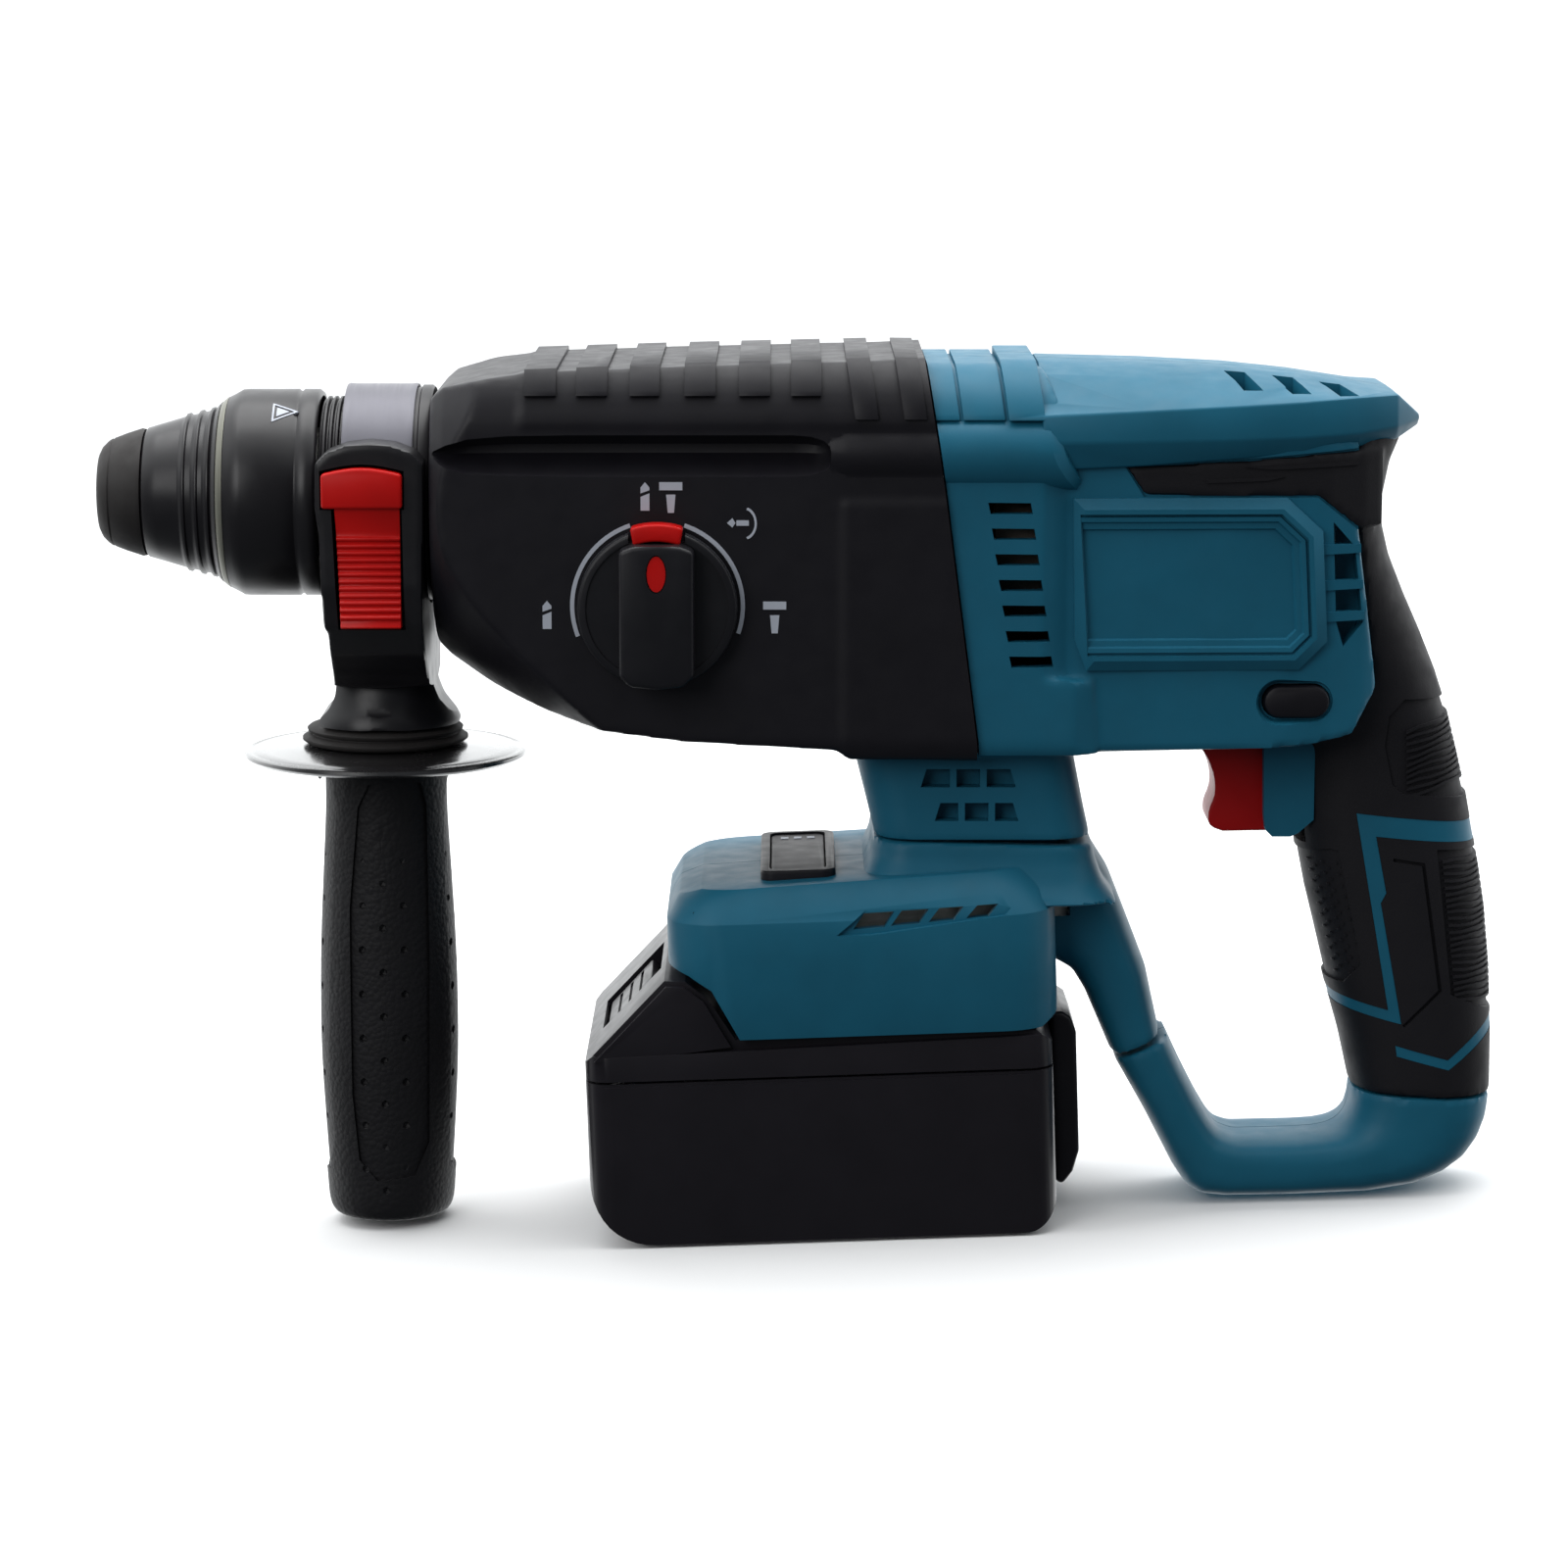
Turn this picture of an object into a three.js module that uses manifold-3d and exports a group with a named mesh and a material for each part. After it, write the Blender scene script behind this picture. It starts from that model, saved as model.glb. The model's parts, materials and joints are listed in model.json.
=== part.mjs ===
// Cordless rotary hammer, in millimetres.
// The tool stands on the flat bottom of its battery: +Z is up, the bit points along -X and the
// mode knob faces -Y. The barrel and everything fastened to it sit in a group of their own, whose
// X axis is the barrel axis, raised above the table and tilted nose up by two degrees.
import * as THREE from 'three';
import { mergeVertices } from 'three/addons/utils/BufferGeometryUtils.js';
import Module from 'manifold-3d';

const wasm = await Module();
wasm.setup();

// ---- Driving dimensions -------------------------------------------------------------------
const GAP = 0.3; // clearance between neighbouring pieces
const BARREL_HEIGHT = 169.5; // barrel axis above the battery's bottom, over the row origin
const BARREL_TILT = THREE.MathUtils.degToRad(2);
const WALL = 3; // plastic wall of the housings

const NOSE_TIP = -150.4; // along the barrel axis
const SLEEVE_FRONT = -139.6;
const SLEEVE_REAR = -98.6;
const SLEEVE_RADIUS = 23.9;
const SLEEVE_TRAVEL = 5;
const SOCKET_RADIUS = 5.1; // bit shank of 10 mm
const COLLAR_FRONT = -92.9;
const COLLAR_REAR = -72.7;
const COLLAR_RADIUS = 24.4;
const STRAP_RADIUS = 25.3;

const SPINDLE_RADIUS = 15; // hammer cylinder, outside
const CYLINDER_BORE = 11; // hammer cylinder, inside
const HOUSING_HALF = 37; // gear housing, half width
const BODY_HALF = 36; // motor housing, half width
const GRIP_HALF = 17; // rear handle, half width
const CORE_HALF = 13; // plastic core under the rubber
const NECK_HALF = 27;
const BASE_HALF = 38.5; // battery platform, half width
const BATTERY_HALF = 37.5;

const SHAFT_DROP = -28; // intermediate shaft below the barrel axis
const MOTOR_DROP = -11; // motor axis below the barrel axis
const SPINDLE_TEETH = 30;
const PINION_TEETH = 12;
const SPINDLE_MODULE = (2 * -SHAFT_DROP) / (SPINDLE_TEETH + PINION_TEETH);
const INTERMEDIATE_TEETH = 26;
const MOTOR_TEETH = 8;
const MOTOR_MODULE = (2 * (MOTOR_DROP - SHAFT_DROP)) / (INTERMEDIATE_TEETH + MOTOR_TEETH);
const WOBBLE_X = 10;

const KNOB = { x: -20.5, z: -21.7, radius: 18, face: -37.3 };
const LEVER = { x: 124.6, z: -44.6, width: 15, height: 7.4, reach: 31 };
const SIDE_AXIS = -85.3; // side handle's axis, along the barrel
const SCREWS = [
  { name: 'screw_front_top', x: 84, z: 24, face: 34.6 },
  { name: 'screw_front_bottom', x: 85, z: -47, face: 34.6 },
  { name: 'screw_rear_top', x: 121, z: 18, face: 30.5 },
  { name: 'screw_handle', x: 158, z: -154, face: 15.7 },
];

// ---- Colours ------------------------------------------------------------------------------
const finish = (color, roughness, metalness = 0) => ({ color, roughness, metalness });
const BLACK_PLASTIC = finish(0x1e1d22, 0.55);
const TEAL_PLASTIC = finish(0x1b6480, 0.5);
const BLACK_RUBBER = finish(0x1c1a22, 0.85);
const GLOSS_BLACK = finish(0x1f1d21, 0.25);
const RED_PLASTIC = finish(0xb0100e, 0.4);
const SATIN_STEEL = finish(0xb4b3bc, 0.35, 0.9);
const DARK_STEEL = finish(0x5c5c5e, 0.4, 0.9);
const MAGNET_STEEL = finish(0x6e6a64, 0.5, 0.8);
const CIRCUIT_BOARD = finish(0x1d5a36, 0.6);
const SMOKED_LENS = finish(0x6e6b6c, 0.15);
const CELL_SLEEVE = finish(0x3a78a8, 0.5);

// ---- Solids -------------------------------------------------------------------------------
function toSolid(geometry) {
  const bare = geometry.clone();
  bare.deleteAttribute('normal');
  bare.deleteAttribute('uv');
  const merged = mergeVertices(bare, 1e-4);
  const index = merged.index.array;
  if (signedVolume(merged) < 0) {
    for (let i = 0; i < index.length; i += 3) {
      [index[i], index[i + 1]] = [index[i + 1], index[i]];
    }
  }
  const vertProperties = new Float32Array(merged.attributes.position.array);
  return new wasm.Manifold(new wasm.Mesh({ numProp: 3, vertProperties, triVerts: new Uint32Array(index) }));
}

function signedVolume(geometry) {
  const corner = [new THREE.Vector3(), new THREE.Vector3(), new THREE.Vector3()];
  let sum = 0;
  for (let i = 0; i < geometry.index.count; i += 3) {
    corner.forEach((v, k) => v.fromBufferAttribute(geometry.attributes.position, geometry.index.getX(i + k)));
    sum += corner[0].dot(corner[1].clone().cross(corner[2]));
  }
  return sum;
}

function toGeometry(solid) {
  const mesh = solid.getMesh();
  const geometry = new THREE.BufferGeometry();
  geometry.setAttribute('position', new THREE.BufferAttribute(mesh.vertProperties, 3));
  geometry.setIndex(new THREE.BufferAttribute(mesh.triVerts, 1));
  geometry.computeVertexNormals();
  return geometry;
}

const join = (...solids) => solids.reduce((all, next) => all.add(next));
const overlap = (...solids) => solids.reduce((all, next) => all.intersect(next));
const cut = (solid, ...tools) => tools.reduce((left, tool) => left.subtract(tool), solid);

// An outline drawn in one plane and pushed along the third axis.
// side: points are (x, z), pushed along Y; cross: (y, z) along X; plan: (x, y) along Z.
const PLANES = {
  side: [new THREE.Vector3(1, 0, 0), new THREE.Vector3(0, 0, 1), new THREE.Vector3(0, -1, 0)],
  cross: [new THREE.Vector3(0, 1, 0), new THREE.Vector3(0, 0, 1), new THREE.Vector3(1, 0, 0)],
  plan: [new THREE.Vector3(1, 0, 0), new THREE.Vector3(0, 1, 0), new THREE.Vector3(0, 0, 1)],
};

function pushed(plane, points, from, to) {
  const shape = new THREE.Shape(points.map(([a, b]) => new THREE.Vector2(a, b)));
  const geometry = new THREE.ExtrudeGeometry(shape, { depth: to - from, bevelEnabled: false });
  geometry.translate(0, 0, plane === 'side' ? -to : from);
  geometry.applyMatrix4(new THREE.Matrix4().makeBasis(...PLANES[plane]));
  return toSolid(geometry);
}

const plate = (points, half) => pushed('side', points, -half, half);

function block(x, y, z) {
  const geometry = new THREE.BoxGeometry(x[1] - x[0], y[1] - y[0], z[1] - z[0]);
  geometry.translate((x[0] + x[1]) / 2, (y[0] + y[1]) / 2, (z[0] + z[1]) / 2);
  return toSolid(geometry);
}

// A turned solid about the X axis: the profile lists (distance along the axis, radius).
function turned(profile, segments = 24, z = 0, y = 0) {
  const points = profile.map(([along, radius]) => new THREE.Vector2(radius, along));
  const geometry = new THREE.LatheGeometry(points, segments);
  geometry.rotateZ(-Math.PI / 2);
  geometry.translate(0, y, z);
  return toSolid(geometry);
}

function ring(x, inner, outer, segments = 20, z = 0) {
  const corners = [[x[0], inner], [x[0], outer], [x[1], outer], [x[1], inner], [x[0], inner]];
  return turned(corners, segments, z);
}

const rod = (x, radius, segments = 20, z = 0) =>
  turned([[x[0], 0], [x[0], radius], [x[1], radius], [x[1], 0]], segments, z);

// The same about a line parallel to Y or Z.
function post(axis, x, cross, span, radius, segments = 16) {
  const geometry = new THREE.CylinderGeometry(radius, radius, span[1] - span[0], segments);
  const middle = (span[0] + span[1]) / 2;
  if (axis === 'z') {
    geometry.rotateX(Math.PI / 2);
    geometry.translate(x, cross, middle);
  } else {
    geometry.translate(x, middle, cross);
  }
  return toSolid(geometry);
}

function upright(profile, x, segments = 24) {
  const points = profile.map(([height, radius]) => new THREE.Vector2(radius, height));
  const geometry = new THREE.LatheGeometry(points, segments);
  geometry.rotateX(Math.PI / 2);
  geometry.translate(x, 0, 0);
  return toSolid(geometry);
}

// ---- Outlines -----------------------------------------------------------------------------
function roundedRectangle(a, b, radius, steps = 4) {
  const points = [];
  const centres = [[a[1] - radius, b[1] - radius], [a[0] + radius, b[1] - radius],
    [a[0] + radius, b[0] + radius], [a[1] - radius, b[0] + radius]];
  centres.forEach(([ca, cb], corner) => {
    for (let step = 0; step <= steps; step += 1) {
      const angle = (Math.PI / 2) * (corner + step / steps);
      points.push([ca + radius * Math.cos(angle), cb + radius * Math.sin(angle)]);
    }
  });
  return points;
}

// The outline moved inward by a distance; a negative distance moves it outward.
function inset(points, distance) {
  const area = points.reduce((sum, [x, z], i) => {
    const [nx, nz] = points[(i + 1) % points.length];
    return sum + x * nz - nx * z;
  }, 0);
  const turn = Math.sign(area);
  return points.map((point, i) => {
    const before = points[(i + points.length - 1) % points.length];
    const after = points[(i + 1) % points.length];
    const one = new THREE.Vector2(point[0] - before[0], point[1] - before[1]).normalize();
    const two = new THREE.Vector2(after[0] - point[0], after[1] - point[1]).normalize();
    const inward = new THREE.Vector2(-one.y - two.y, one.x + two.x).normalize();
    const reach = (turn * distance) / Math.max(0.4, inward.dot(new THREE.Vector2(-one.y, one.x)));
    return [point[0] + inward.x * reach, point[1] + inward.y * reach];
  });
}

// Four corners per tooth: narrow teeth, so a pair runs with play.
function gearOutline(teeth, module, centre, phase) {
  const points = [];
  const pitchAngle = (2 * Math.PI) / teeth;
  const corners = [[-0.27, -1.05], [-0.12, 0.8], [0.12, 0.8], [0.27, -1.05]];
  for (let tooth = 0; tooth < teeth; tooth += 1) {
    corners.forEach(([share, height]) => {
      const angle = (tooth + share + phase) * pitchAngle;
      const radius = (teeth / 2 + height) * module;
      points.push([radius * Math.sin(angle), centre + radius * Math.cos(angle)]);
    });
  }
  return points;
}

// ---- Scene graph --------------------------------------------------------------------------
const tool = new THREE.Group();
const barrel = new THREE.Group();
barrel.position.set(0, 0, BARREL_HEIGHT);
barrel.rotation.y = BARREL_TILT;
tool.add(barrel);

function addTo(group, name, solid, look) {
  const mesh = new THREE.Mesh(toGeometry(solid), new THREE.MeshStandardMaterial(look));
  mesh.name = name;
  group.add(mesh);
}

// ---- Chuck and hammer ---------------------------------------------------------------------
function noseCap() {
  return turned([[NOSE_TIP, 6], [NOSE_TIP, 10], [-148.4, 12.2], [-144, 13.8], [SLEEVE_FRONT - GAP, 14.8],
    [SLEEVE_FRONT - GAP, 10.2], [-147, 10.2], [-147, 6], [NOSE_TIP, 6]]);
}

function chuckSleeve() {
  return turned([[SLEEVE_FRONT, 11], [SLEEVE_FRONT, 15], [-127, 17.8], [-122.6, 20.2], [-122.6, 18.6],
    [-118.8, 18.6], [-118.8, SLEEVE_RADIUS - 0.6], [-117, SLEEVE_RADIUS], [SLEEVE_REAR, SLEEVE_RADIUS],
    [SLEEVE_REAR, 22.4], [-114, 22.4], [-119, 17], [-136, 14], [-136, 11], [SLEEVE_FRONT, 11]], 28);
}

const sleeveTrimRing = () =>
  turned([[-122.3, 19], [-122.3, 20.6], [-119.1, 22.6], [-119.1, 19], [-122.3, 19]], 28);

function spindle() {
  const outside = turned([[-146.6, 0], [-146.6, 9.8], [-136, 9.8], [-136, 10.6], [-108, 10.6], [-108, 15],
    [-100, SPINDLE_RADIUS], [-4, SPINDLE_RADIUS], [-4, 0]], 20);
  const bore = turned([[-150, 0], [-150, SOCKET_RADIUS], [-98, SOCKET_RADIUS], [-98, 8], [-64, 8],
    [-64, CYLINDER_BORE], [0, CYLINDER_BORE], [0, 0]], 20);
  const pockets = [[4, 12], [-12, -4]].map((y) => block([-131, -122], y, [-3.2, 3.2]));
  return cut(outside, bore, ...pockets);
}

function lockingBall(side) {
  const geometry = new THREE.SphereGeometry(2.9, 10, 6);
  geometry.translate(-126.5, side * 8.6, 0);
  return toSolid(geometry);
}

const guideRing = () => ring([-117.6, -112.4], 10.9, 16.2, 16);
const chuckSpring = () => ring([-111.8, -108.5], 11.2, 14.4, 16);
const frontSeal = () => ring([-98.2, COLLAR_FRONT - GAP], 15.4, 21.9);
const impactBolt = () =>
  turned([[-97.5, 0], [-97.5, 4.6], [-84, 4.6], [-82, 7.6], [-68, 7.6], [-66, 5], [-58, 5], [-58, 0]], 20);
const striker = () => turned([[-52, 0], [-52, 6], [-48, 10.6], [-26, 10.6], [-26, 0]], 24);

function piston() {
  const body = rod([-12, 17], 10.6);
  const socket = block([WOBBLE_X - 5.4, WOBBLE_X + 5.4], [-3, 3], [-14, 3]); // room for the finger's tilt
  return cut(body, socket);
}

function wobbleFinger() {
  const hub = ring([WOBBLE_X - 4, WOBBLE_X + 4], 8.4, 13, 24, SHAFT_DROP);
  const finger = post('z', WOBBLE_X, 0, [SHAFT_DROP + 11.5, -2], 2.4, 12);
  return join(hub, finger);
}

// ---- Gears and shafts ---------------------------------------------------------------------
function spindleGear() {
  const teeth = pushed('cross', gearOutline(SPINDLE_TEETH, SPINDLE_MODULE, 0, 0), -45, -36);
  return cut(teeth, rod([-50, -30], SPINDLE_RADIUS + GAP, 32));
}

function intermediateShaft() {
  const seat = rod([WOBBLE_X - 6, WOBBLE_X + 6], 6.4, 16, SHAFT_DROP);
  const shaft = join(rod([-52, 38], 4.8, 16, SHAFT_DROP), seat);
  const pinion = pushed('cross', gearOutline(PINION_TEETH, SPINDLE_MODULE, SHAFT_DROP, 0.5), -46, -35);
  return join(shaft, pinion);
}

function intermediateGear() {
  const teeth = pushed('cross', gearOutline(INTERMEDIATE_TEETH, MOTOR_MODULE, SHAFT_DROP, 0), 24, 31);
  return cut(teeth, rod([20, 35], 4.8 + GAP, 16, SHAFT_DROP));
}

function rotor() {
  const shaft = rod([24.4, 112], 2.6, 16, MOTOR_DROP);
  const magnet = rod([58, 94], 15.2, 24, MOTOR_DROP);
  const pinion = pushed('cross', gearOutline(MOTOR_TEETH, MOTOR_MODULE, MOTOR_DROP, 0.5), 24.6, 32);
  return join(shaft, magnet, pinion);
}

const stator = () => ring([56, 96], 16, 26, 28, MOTOR_DROP);

function fan() {
  const disc = ring([50.4, 52], 2.9, 24, 28, MOTOR_DROP);
  const hub = ring([44, 52], 2.9, 7, 16, MOTOR_DROP);
  const blades = [];
  for (let i = 0; i < 7; i += 1) {
    const geometry = new THREE.BoxGeometry(6, 1.4, 17);
    geometry.translate(48, 0, 14.5);
    geometry.rotateX((2 * Math.PI * i) / 7);
    geometry.translate(0, 0, MOTOR_DROP);
    blades.push(toSolid(geometry));
  }
  return join(disc, hub, ...blades);
}

function bearingPlate() {
  const plateSolid = pushed('cross', roundedRectangle([-30, 30], [-46, 24], 8), 34, 38);
  return cut(plateSolid, rod([30, 42], 8.3, 20, MOTOR_DROP), rod([30, 42], 7.3, 20, SHAFT_DROP));
}

const rotorFrontBearing = () => ring([34, 38], 2.9, 8, 20, MOTOR_DROP);
const rotorRearBearing = () => ring([103, 108], 2.9, 8, 20, MOTOR_DROP);
const shaftRearBearing = () => ring([34.2, 37.8], 5.1, 7, 20, SHAFT_DROP);
const shaftFrontBearing = () => ring([-51.5, -47], 5.1, 8.6, 20, SHAFT_DROP);
const spindleBearing = () => ring([-68, -60], SPINDLE_RADIUS + GAP, 23.6, 28);

// ---- Gear housing -------------------------------------------------------------------------
const GEAR_OUTLINE = [[-72, 24.2], [-69, 26.9], [-60, 29.1], [-52, 30.5], [-14.6, 32.1], [30.6, 33.2],
  [39.5, 34.3], [44.1, 4.4], [51.8, -53.6], [52, -57], [23, -56.5], [19.5, -54.8], [-14.9, -52.8],
  [-33.3, -50.4], [-47, -47.4], [-60.7, -42.8], [-69.8, -37.7], [-72, -33]];

function gearHousing() {
  const section = pushed('cross', roundedRectangle([-HOUSING_HALF, HOUSING_HALF], [-58, 36], 14), -80, 60);
  const taper = turned([[-73, 0], [-73, 35], [-60, 46], [-45, 57], [-30, 68], [60, 80], [60, 0]], 32);
  const outside = overlap(plate(GEAR_OUTLINE, HOUSING_HALF + 1), section, taper);
  const inside = overlap(
    plate(inset(GEAR_OUTLINE, WALL), HOUSING_HALF - WALL),
    pushed('cross', roundedRectangle([-HOUSING_HALF + WALL, HOUSING_HALF - WALL], [-55, 33], 11), -80, 60),
    turned([[-70, 0], [-70, 31], [-57, 42], [-42, 53], [-27, 64], [60, 76], [60, 0]], 32));
  const rearMouth = pushed('side', [[34, 29], [60, 29], [60, -52], [34, -52]], -33, 33);
  const spindleHole = rod([-76, -60], 23.9, 28);
  const knobHole = post('y', KNOB.x, KNOB.z, [-45, -30], 6.4);
  return cut(outside, inside, rearMouth, spindleHole, knobHole);
}

function collar() {
  return ring([COLLAR_FRONT, COLLAR_REAR], 16, COLLAR_RADIUS, 28);
}

// ---- Mode knob ----------------------------------------------------------------------------
function modeKnob() {
  const { x, z, radius, face } = KNOB;
  const disc = post('y', x, z, [face - 5.5, face - GAP], radius, 28);
  const grip = block([x - 8.3, x + 8.3], [face - 11.5, face - 5], [z - radius + 2, z + radius - 3.6]);
  const stem = post('y', x, z, [face - 1, -30], 6, 20);
  const peg = post('y', x, z + 4, [-30.5, -25.5], 1.6, 10);
  const notch = block([x - 6.4, x + 6.4], [face - 12, face + 1], [z + radius - 5.2, z + radius + 2]);
  return cut(join(disc, grip, stem, peg), notch);
}

function knobLockButton() {
  const { x, z, radius, face } = KNOB;
  return block([x - 6, x + 6], [face - 6, face - 0.6], [z + radius - 2.6, z + radius + 1.2]);
}

function shiftFork() {
  const body = block([KNOB.x - 5, KNOB.x + 5], [-29.6, -25.6], [KNOB.z - 3, KNOB.z + 8]);
  const slot = block([KNOB.x - 2.6, KNOB.x + 2.6], [-31, -24], [KNOB.z - 2, KNOB.z + 6.4]);
  const arm = block([KNOB.x - 5, KNOB.x + 5], [-29.6, -10.5], [KNOB.z - 7, KNOB.z - 2.6]);
  return join(cut(body, slot), arm);
}

// ---- Body shells --------------------------------------------------------------------------
const BODY_OUTLINE = [[39.9, 33.6], [67, 33], [110, 29.6], [138, 22], [141, 14], [138, 9],
  [138, -6], [140.8, -24], [143.2, -42.2], [137.6, -52.8], [126.5, -55.9], [52.4, -56.6],
  [52.1, -53.6], [44.4, 4.4]];
const WING_OUTLINE = [[66, 33], [110, 29.6], [150, 19.8], [154.4, 17.5], [148.5, 13.9], [76, 9.5],
  [70.7, 11.1]];
const NECK_OUTLINE = [[24.2, -57.4], [54, -57.4], [54, -50], [74, -50], [74.6, -60.5],
  [78.8, -78.4], [28.9, -76.6]];
const CORE_OUTLINE = [[136, -8], [142.6, -8], [147.2, -18.5], [153.5, -33.5], [157.2, -42.5],
  [162.2, -60.5], [165.7, -79], [169.3, -98], [171, -116], [171.6, -130], [171.4, -146],
  [144.6, -146], [144.6, -139], [140.3, -125], [135.3, -106], [131, -84], [131, -50]];
const BAR_OUTLINE = [[141.9, -139.7], [141.8, -145], [139, -149], [133.7, -150.4], [115.1, -150.8],
  [110.5, -149.8], [106.2, -145], [101.6, -134.9], [98.2, -126.9], [85.3, -132.2], [92.7, -145.5],
  [102.3, -163], [105.5, -165.3], [146.6, -163.8], [161.8, -160], [168.2, -156], [172, -151],
  [174, -146], [174.7, -141.7]];
const RUBBER_OUTLINE = [[138.4, -6], [141.2, -24], [143.7, -42.2], [138, -53.2], [127.2, -56.4],
  [127.2, -82], [128.4, -87.6], [132.2, -106.4], [137.2, -125.3], [141.7, -139.4], [174.7, -141.4],
  [174.8, -130], [174.1, -115.9], [172.5, -97], [168.8, -78.2], [165.3, -59.5], [160.1, -40.9],
  [156.4, -31.7], [150, -17], [146.8, -4.1], [146.6, 3], [148.4, 9.4], [147, 13.3], [141.4, 12.9],
  [138.4, 8.8]];

function bodySolid() {
  const section = pushed('cross', roundedRectangle([-BODY_HALF, BODY_HALF], [-58, 35], 13), 30, 160);
  const taperPlan = [[30, 37], [96, 36], [124, 32], [146, 24], [146, -24], [124, -32], [96, -36], [30, -37]];
  const main = overlap(plate(BODY_OUTLINE, 40), section, pushed('plan', taperPlan, -60, 40));
  const wingPlan = [[60, 36], [110, 34.5], [140, 28], [152, 18], [155, 10], [155, -10], [152, -18], [140, -28],
    [110, -34.5], [60, -36]];
  const wing = overlap(plate(WING_OUTLINE, 40), section, pushed('plan', wingPlan, 0, 40));
  const guard = plate([[119.5, -50], [126.9, -50], [126.9, -80], [122, -80], [119.5, -77]], CORE_HALF);
  return join(main, wing, plate(NECK_OUTLINE, NECK_HALF), guard, plate(CORE_OUTLINE, CORE_HALF),
    plate(BAR_OUTLINE, GRIP_HALF - 1));
}

function bodyHollows() {
  const motor = rod([30, 110], 27.5, 28, MOTOR_DROP);
  const front = block([30, 62], [-31, 31], [-50, 26]);
  const neck = block([29.5, 71], [-23, 23], [-84, -30]);
  const rear = block([108, 133], [-24, 24], [-37, 8]);
  const grip = plate(inset(CORE_OUTLINE, WALL), CORE_HALF - WALL);
  const bar = plate([[108, -155], [106, -160], [108, -161.5], [144, -160], [144, -154]], 12);
  return [motor, front, neck, rear, grip, triggerChannel(), bar];
}

const triggerChannel = () => block([90, 134], [-8.9, 8.9], [-82, -51]);

function leverHole() {
  const { x, z, width, height } = LEVER;
  const [across, up] = [width / 2 + 0.4, height / 2 + 0.4];
  return pushed('side', roundedRectangle([x - across, x + across], [z - up, z + up], 4), -40, 40);
}

function screwHoles() {
  return SCREWS.flatMap(({ x, z, face }) => [
    post('y', x, z, [face - 6, 45], 4.2, 12),
    post('y', x, z, [-face + 8, face], 2.1, 8),
  ]);
}

function screw({ x, z, face }) {
  const head = post('y', x, z, [face - 5.6, face - 2.6], 3.8, 12);
  const shank = post('y', x, z, [-face + 10, face - 5], 1.7, 8);
  const drive = post('y', x, z, [face - 4, face], 1.8, 6);
  return cut(join(head, shank), drive);
}

// Everything on one side of the middle plane, less half the parting gap.
const leftOf = (solid) => overlap(solid, block([-300, 300], [-60, -GAP / 2], [-300, 300]));
const rightOf = (solid) => overlap(solid, block([-300, 300], [GAP / 2, 60], [-300, 300]));

function gripRubber() {
  const outside = overlap(plate(RUBBER_OUTLINE, GRIP_HALF),
    pushed('cross', roundedRectangle([-GRIP_HALF, GRIP_HALF], [-150, 20], 5, 2), 120, 180));
  return cut(outside, plate(inset(CORE_OUTLINE, -GAP), CORE_HALF + GAP), triggerChannel());
}

const switchBody = () => plate([[138.5, -56], [151, -56], [157, -84], [141, -84]], 9.2);

function trigger() {
  const outline = [[103.5, -57.2], [108, -52.5], [126, -52.5], [126, -76], [119, -78.3], [110, -78.3], [107, -74],
    [108.3, -68], [106.8, -62.5]];
  return plate(outline, 8.2);
}

function reversingLever() {
  const { x, z, width, height, reach } = LEVER;
  const outline = roundedRectangle([x - width / 2, x + width / 2], [z - height / 2, z + height / 2], 3.6);
  return pushed('side', outline, -reach, reach);
}

// ---- Battery platform, in the row frame ---------------------------------------------------
const PLATFORM_OUTLINE = [[-6.3, 48.2], [-12.6, 60.3], [-18, 63.4], [-22.3, 74], [-20, 80],
  [-14, 82.3], [58, 84], [65, 80], [67, 74], [67, 56], [64, 51], [58, 48.2]];
const RISER_OUTLINE = [[22, 78], [26.2, 91], [76, 87.2], [80, 76], [60, 70], [30, 70]];
const STRUT_OUTLINE = [[55, 84], [76.3, 86.6], [80.6, 79], [89.1, 55.2], [91, 40.4], [80.2, 36],
  [75.6, 48.6], [73, 57], [70, 60.3], [60, 60.3]];

function baseSolid() {
  const plan = roundedRectangle([-22.3, 67], [-BASE_HALF, BASE_HALF], 12);
  const platform = overlap(plate(PLATFORM_OUTLINE, 40), pushed('plan', plan, 40, 90));
  return join(platform, plate(RISER_OUTLINE, NECK_HALF), plate(STRUT_OUTLINE, GRIP_HALF - 1));
}

function baseHollows() {
  const room = overlap(plate(inset(PLATFORM_OUTLINE, WALL), BASE_HALF - WALL),
    pushed('plan', roundedRectangle([-19, 64], [-BASE_HALF + WALL, BASE_HALF - WALL], 9), 40, 90));
  const shaft = block([30, 72], [-23, 23], [70, 100]);
  const strut = plate(inset(STRUT_OUTLINE, WALL), GRIP_HALF - 1 - WALL);
  const window = block([0.9, 15.6], [-24.3, 24.3], [78, 90]);
  return [room, shaft, strut, window];
}

const lampLens = () => block([1.2, 15.3], [-24, 24], [80, 84.4]);
const controllerBoard = () => block([20, 58], [-26, 26], [62, 70]);
const terminalBlock = () => block([-2, 22], [-20, 20], [51.5, 60]);

// ---- Battery, in the row frame ------------------------------------------------------------
function batteryOutline() {
  const arc = (cx, cz, radius, from, to) => Array.from({ length: 6 }, (_, i) => {
    const angle = THREE.MathUtils.degToRad(from + ((to - from) * i) / 5);
    return [cx + radius * Math.cos(angle), cz + radius * Math.sin(angle)];
  });
  return [[-42.3, 38.5], ...arc(-27.3, 15, 15, 180, 270), ...arc(57.4, 8, 8, 270, 360), [65.4, 38.5]];
}

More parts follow.
